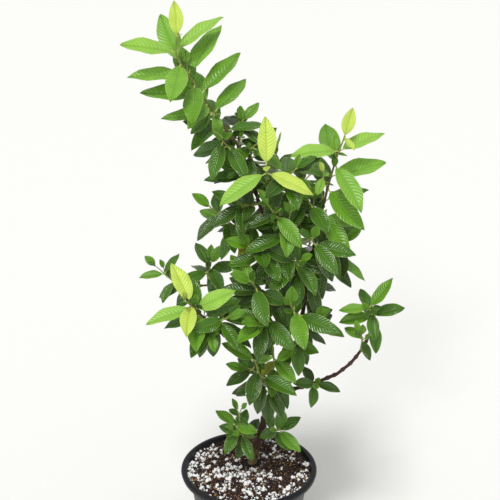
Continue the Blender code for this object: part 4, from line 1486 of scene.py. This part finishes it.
class GUAVA_OT_leaves(bpy.types.Operator):
    """Grow every leaf, gathered by tone from the lime tips to the dark old leaves"""

    bl_idname = "guava.leaves"
    bl_label = "Leaves"
    bl_options = {"REGISTER", "UNDO"}

    def execute(self, context):
        sizes, colours = context.scene.guava_leaves, context.scene.guava_colours
        _, _, leaves = plant()
        gathered = [Gathered() for _ in TONES]
        masses = [set() for _ in TONES]
        for leaf in leaves:
            step = leaf.tone()
            gathered[step].add(*blade_shape(leaf, sizes))
            gathered[step].add(*stalk_shape(leaf))
            masses[step].add(leaf.mass)
        stalk = petiole_finish(colours)
        for tone, wax, sprays, nodes in zip(TONES, WAX, gathered, masses):
            blade, margin = getattr(colours, tone), colours.margin
            below = [0.72 * part + 0.28 * rim for part, rim in zip(blade, margin)]
            finishes = [
                leaf_finish(f"waxed_leaf_{tone}", blade, margin, sizes, wax),
                leaf_finish(f"leaf_underside_{tone}", below, margin, sizes, wax, under=True),
                stalk]
            name = f"leaves_{tone}"
            place(name, sprays.mesh(name, LEAF_CREASE), finishes, sorted(nodes))
        return {"FINISHED"}


class GUAVA_OT_stage(bpy.types.Operator):
    """Set out the pale floor, the soft lights and the camera"""

    bl_idname = "guava.stage"
    bl_label = "Stage"
    bl_options = {"REGISTER", "UNDO"}

    def execute(self, context):
        scene = context.scene
        stage = scene.guava_stage
        half = stage.floor_width / 2
        corners = [(-half, -half, 0), (half, -half, 0), (half, half, 0), (-half, half, 0)]
        floor = new_object("floor", new_mesh("floor", corners, [(0, 1, 2, 3)]))
        matt, _, shader = surface("matt_floor", 0.9)
        shader.inputs["Base Color"].default_value = (*scene.guava_colours.floor, 1)
        floor.data.materials.append(matt)
        for name, strength, width, course in (
                ("key", stage.key, stage.key_width, KEY_COURSE),
                ("front", stage.front, stage.front_width, FRONT_COURSE)):
            lamp = bpy.data.lights.new(name, "SUN")
            lamp.energy, lamp.angle = strength, width
            light = new_object(name, lamp)
            light.rotation_euler = Vector(course).to_track_quat("-Z", "Y").to_euler()
        scene.world = bpy.data.worlds.new("surroundings")
        scene.world.use_nodes = True
        even = scene.world.node_tree.nodes["Background"]
        even.inputs["Color"].default_value = SKY_COLOUR
        even.inputs["Strength"].default_value = stage.sky
        scene.view_settings.view_transform = "Standard"
        eye = bpy.data.cameras.new("camera")
        eye.lens, eye.sensor_width = stage.lens, SENSOR_WIDTH
        scene.camera = new_object("camera", eye)
        scene.camera.location = EYE
        scene.camera.rotation_euler = (EYE_TILT, 0, 0)
        return {"FINISHED"}


class GUAVA_PT_sidebar(bpy.types.Panel):
    """The guava's pieces, with the sizes and colours that shape them"""

    bl_idname = "GUAVA_PT_sidebar"
    bl_label = "Potted Guava"
    bl_space_type = "VIEW_3D"
    bl_region_type = "UI"
    bl_category = "Guava"

    def draw(self, context):
        for step in STEPS:
            self.layout.operator(step.bl_idname)
        for name in GROUPS:
            box = self.layout.box()
            group = getattr(context.scene, name)
            box.label(text=group.bl_rna.description)
            for key in group.__annotations__:
                box.prop(group, key)


STEPS = (GUAVA_OT_stage, GUAVA_OT_pot, GUAVA_OT_mix, GUAVA_OT_limbs, GUAVA_OT_twigs,
         GUAVA_OT_leaves)
GROUPS = {"guava_pot": GuavaPotSizes, "guava_mix": GuavaMixSizes, "guava_leaves": GuavaLeafSizes,
          "guava_stems": GuavaStemSizes, "guava_colours": GuavaColours, "guava_stage": GuavaStage}


def register():
    for kind in (*GROUPS.values(), *STEPS, GUAVA_PT_sidebar):
        bpy.utils.register_class(kind)
    for name, kind in GROUPS.items():
        setattr(bpy.types.Scene, name, PointerProperty(type=kind))


def unregister():
    for name in GROUPS:
        delattr(bpy.types.Scene, name)
    for kind in reversed((*GROUPS.values(), *STEPS, GUAVA_PT_sidebar)):
        bpy.utils.unregister_class(kind)


def main():
    register()
    bpy.ops.guava.stage()
    bpy.ops.guava.pot()
    bpy.ops.guava.mix()
    bpy.ops.guava.limbs()
    bpy.ops.guava.twigs()
    bpy.ops.guava.leaves()


if __name__ == "__main__":
    main()
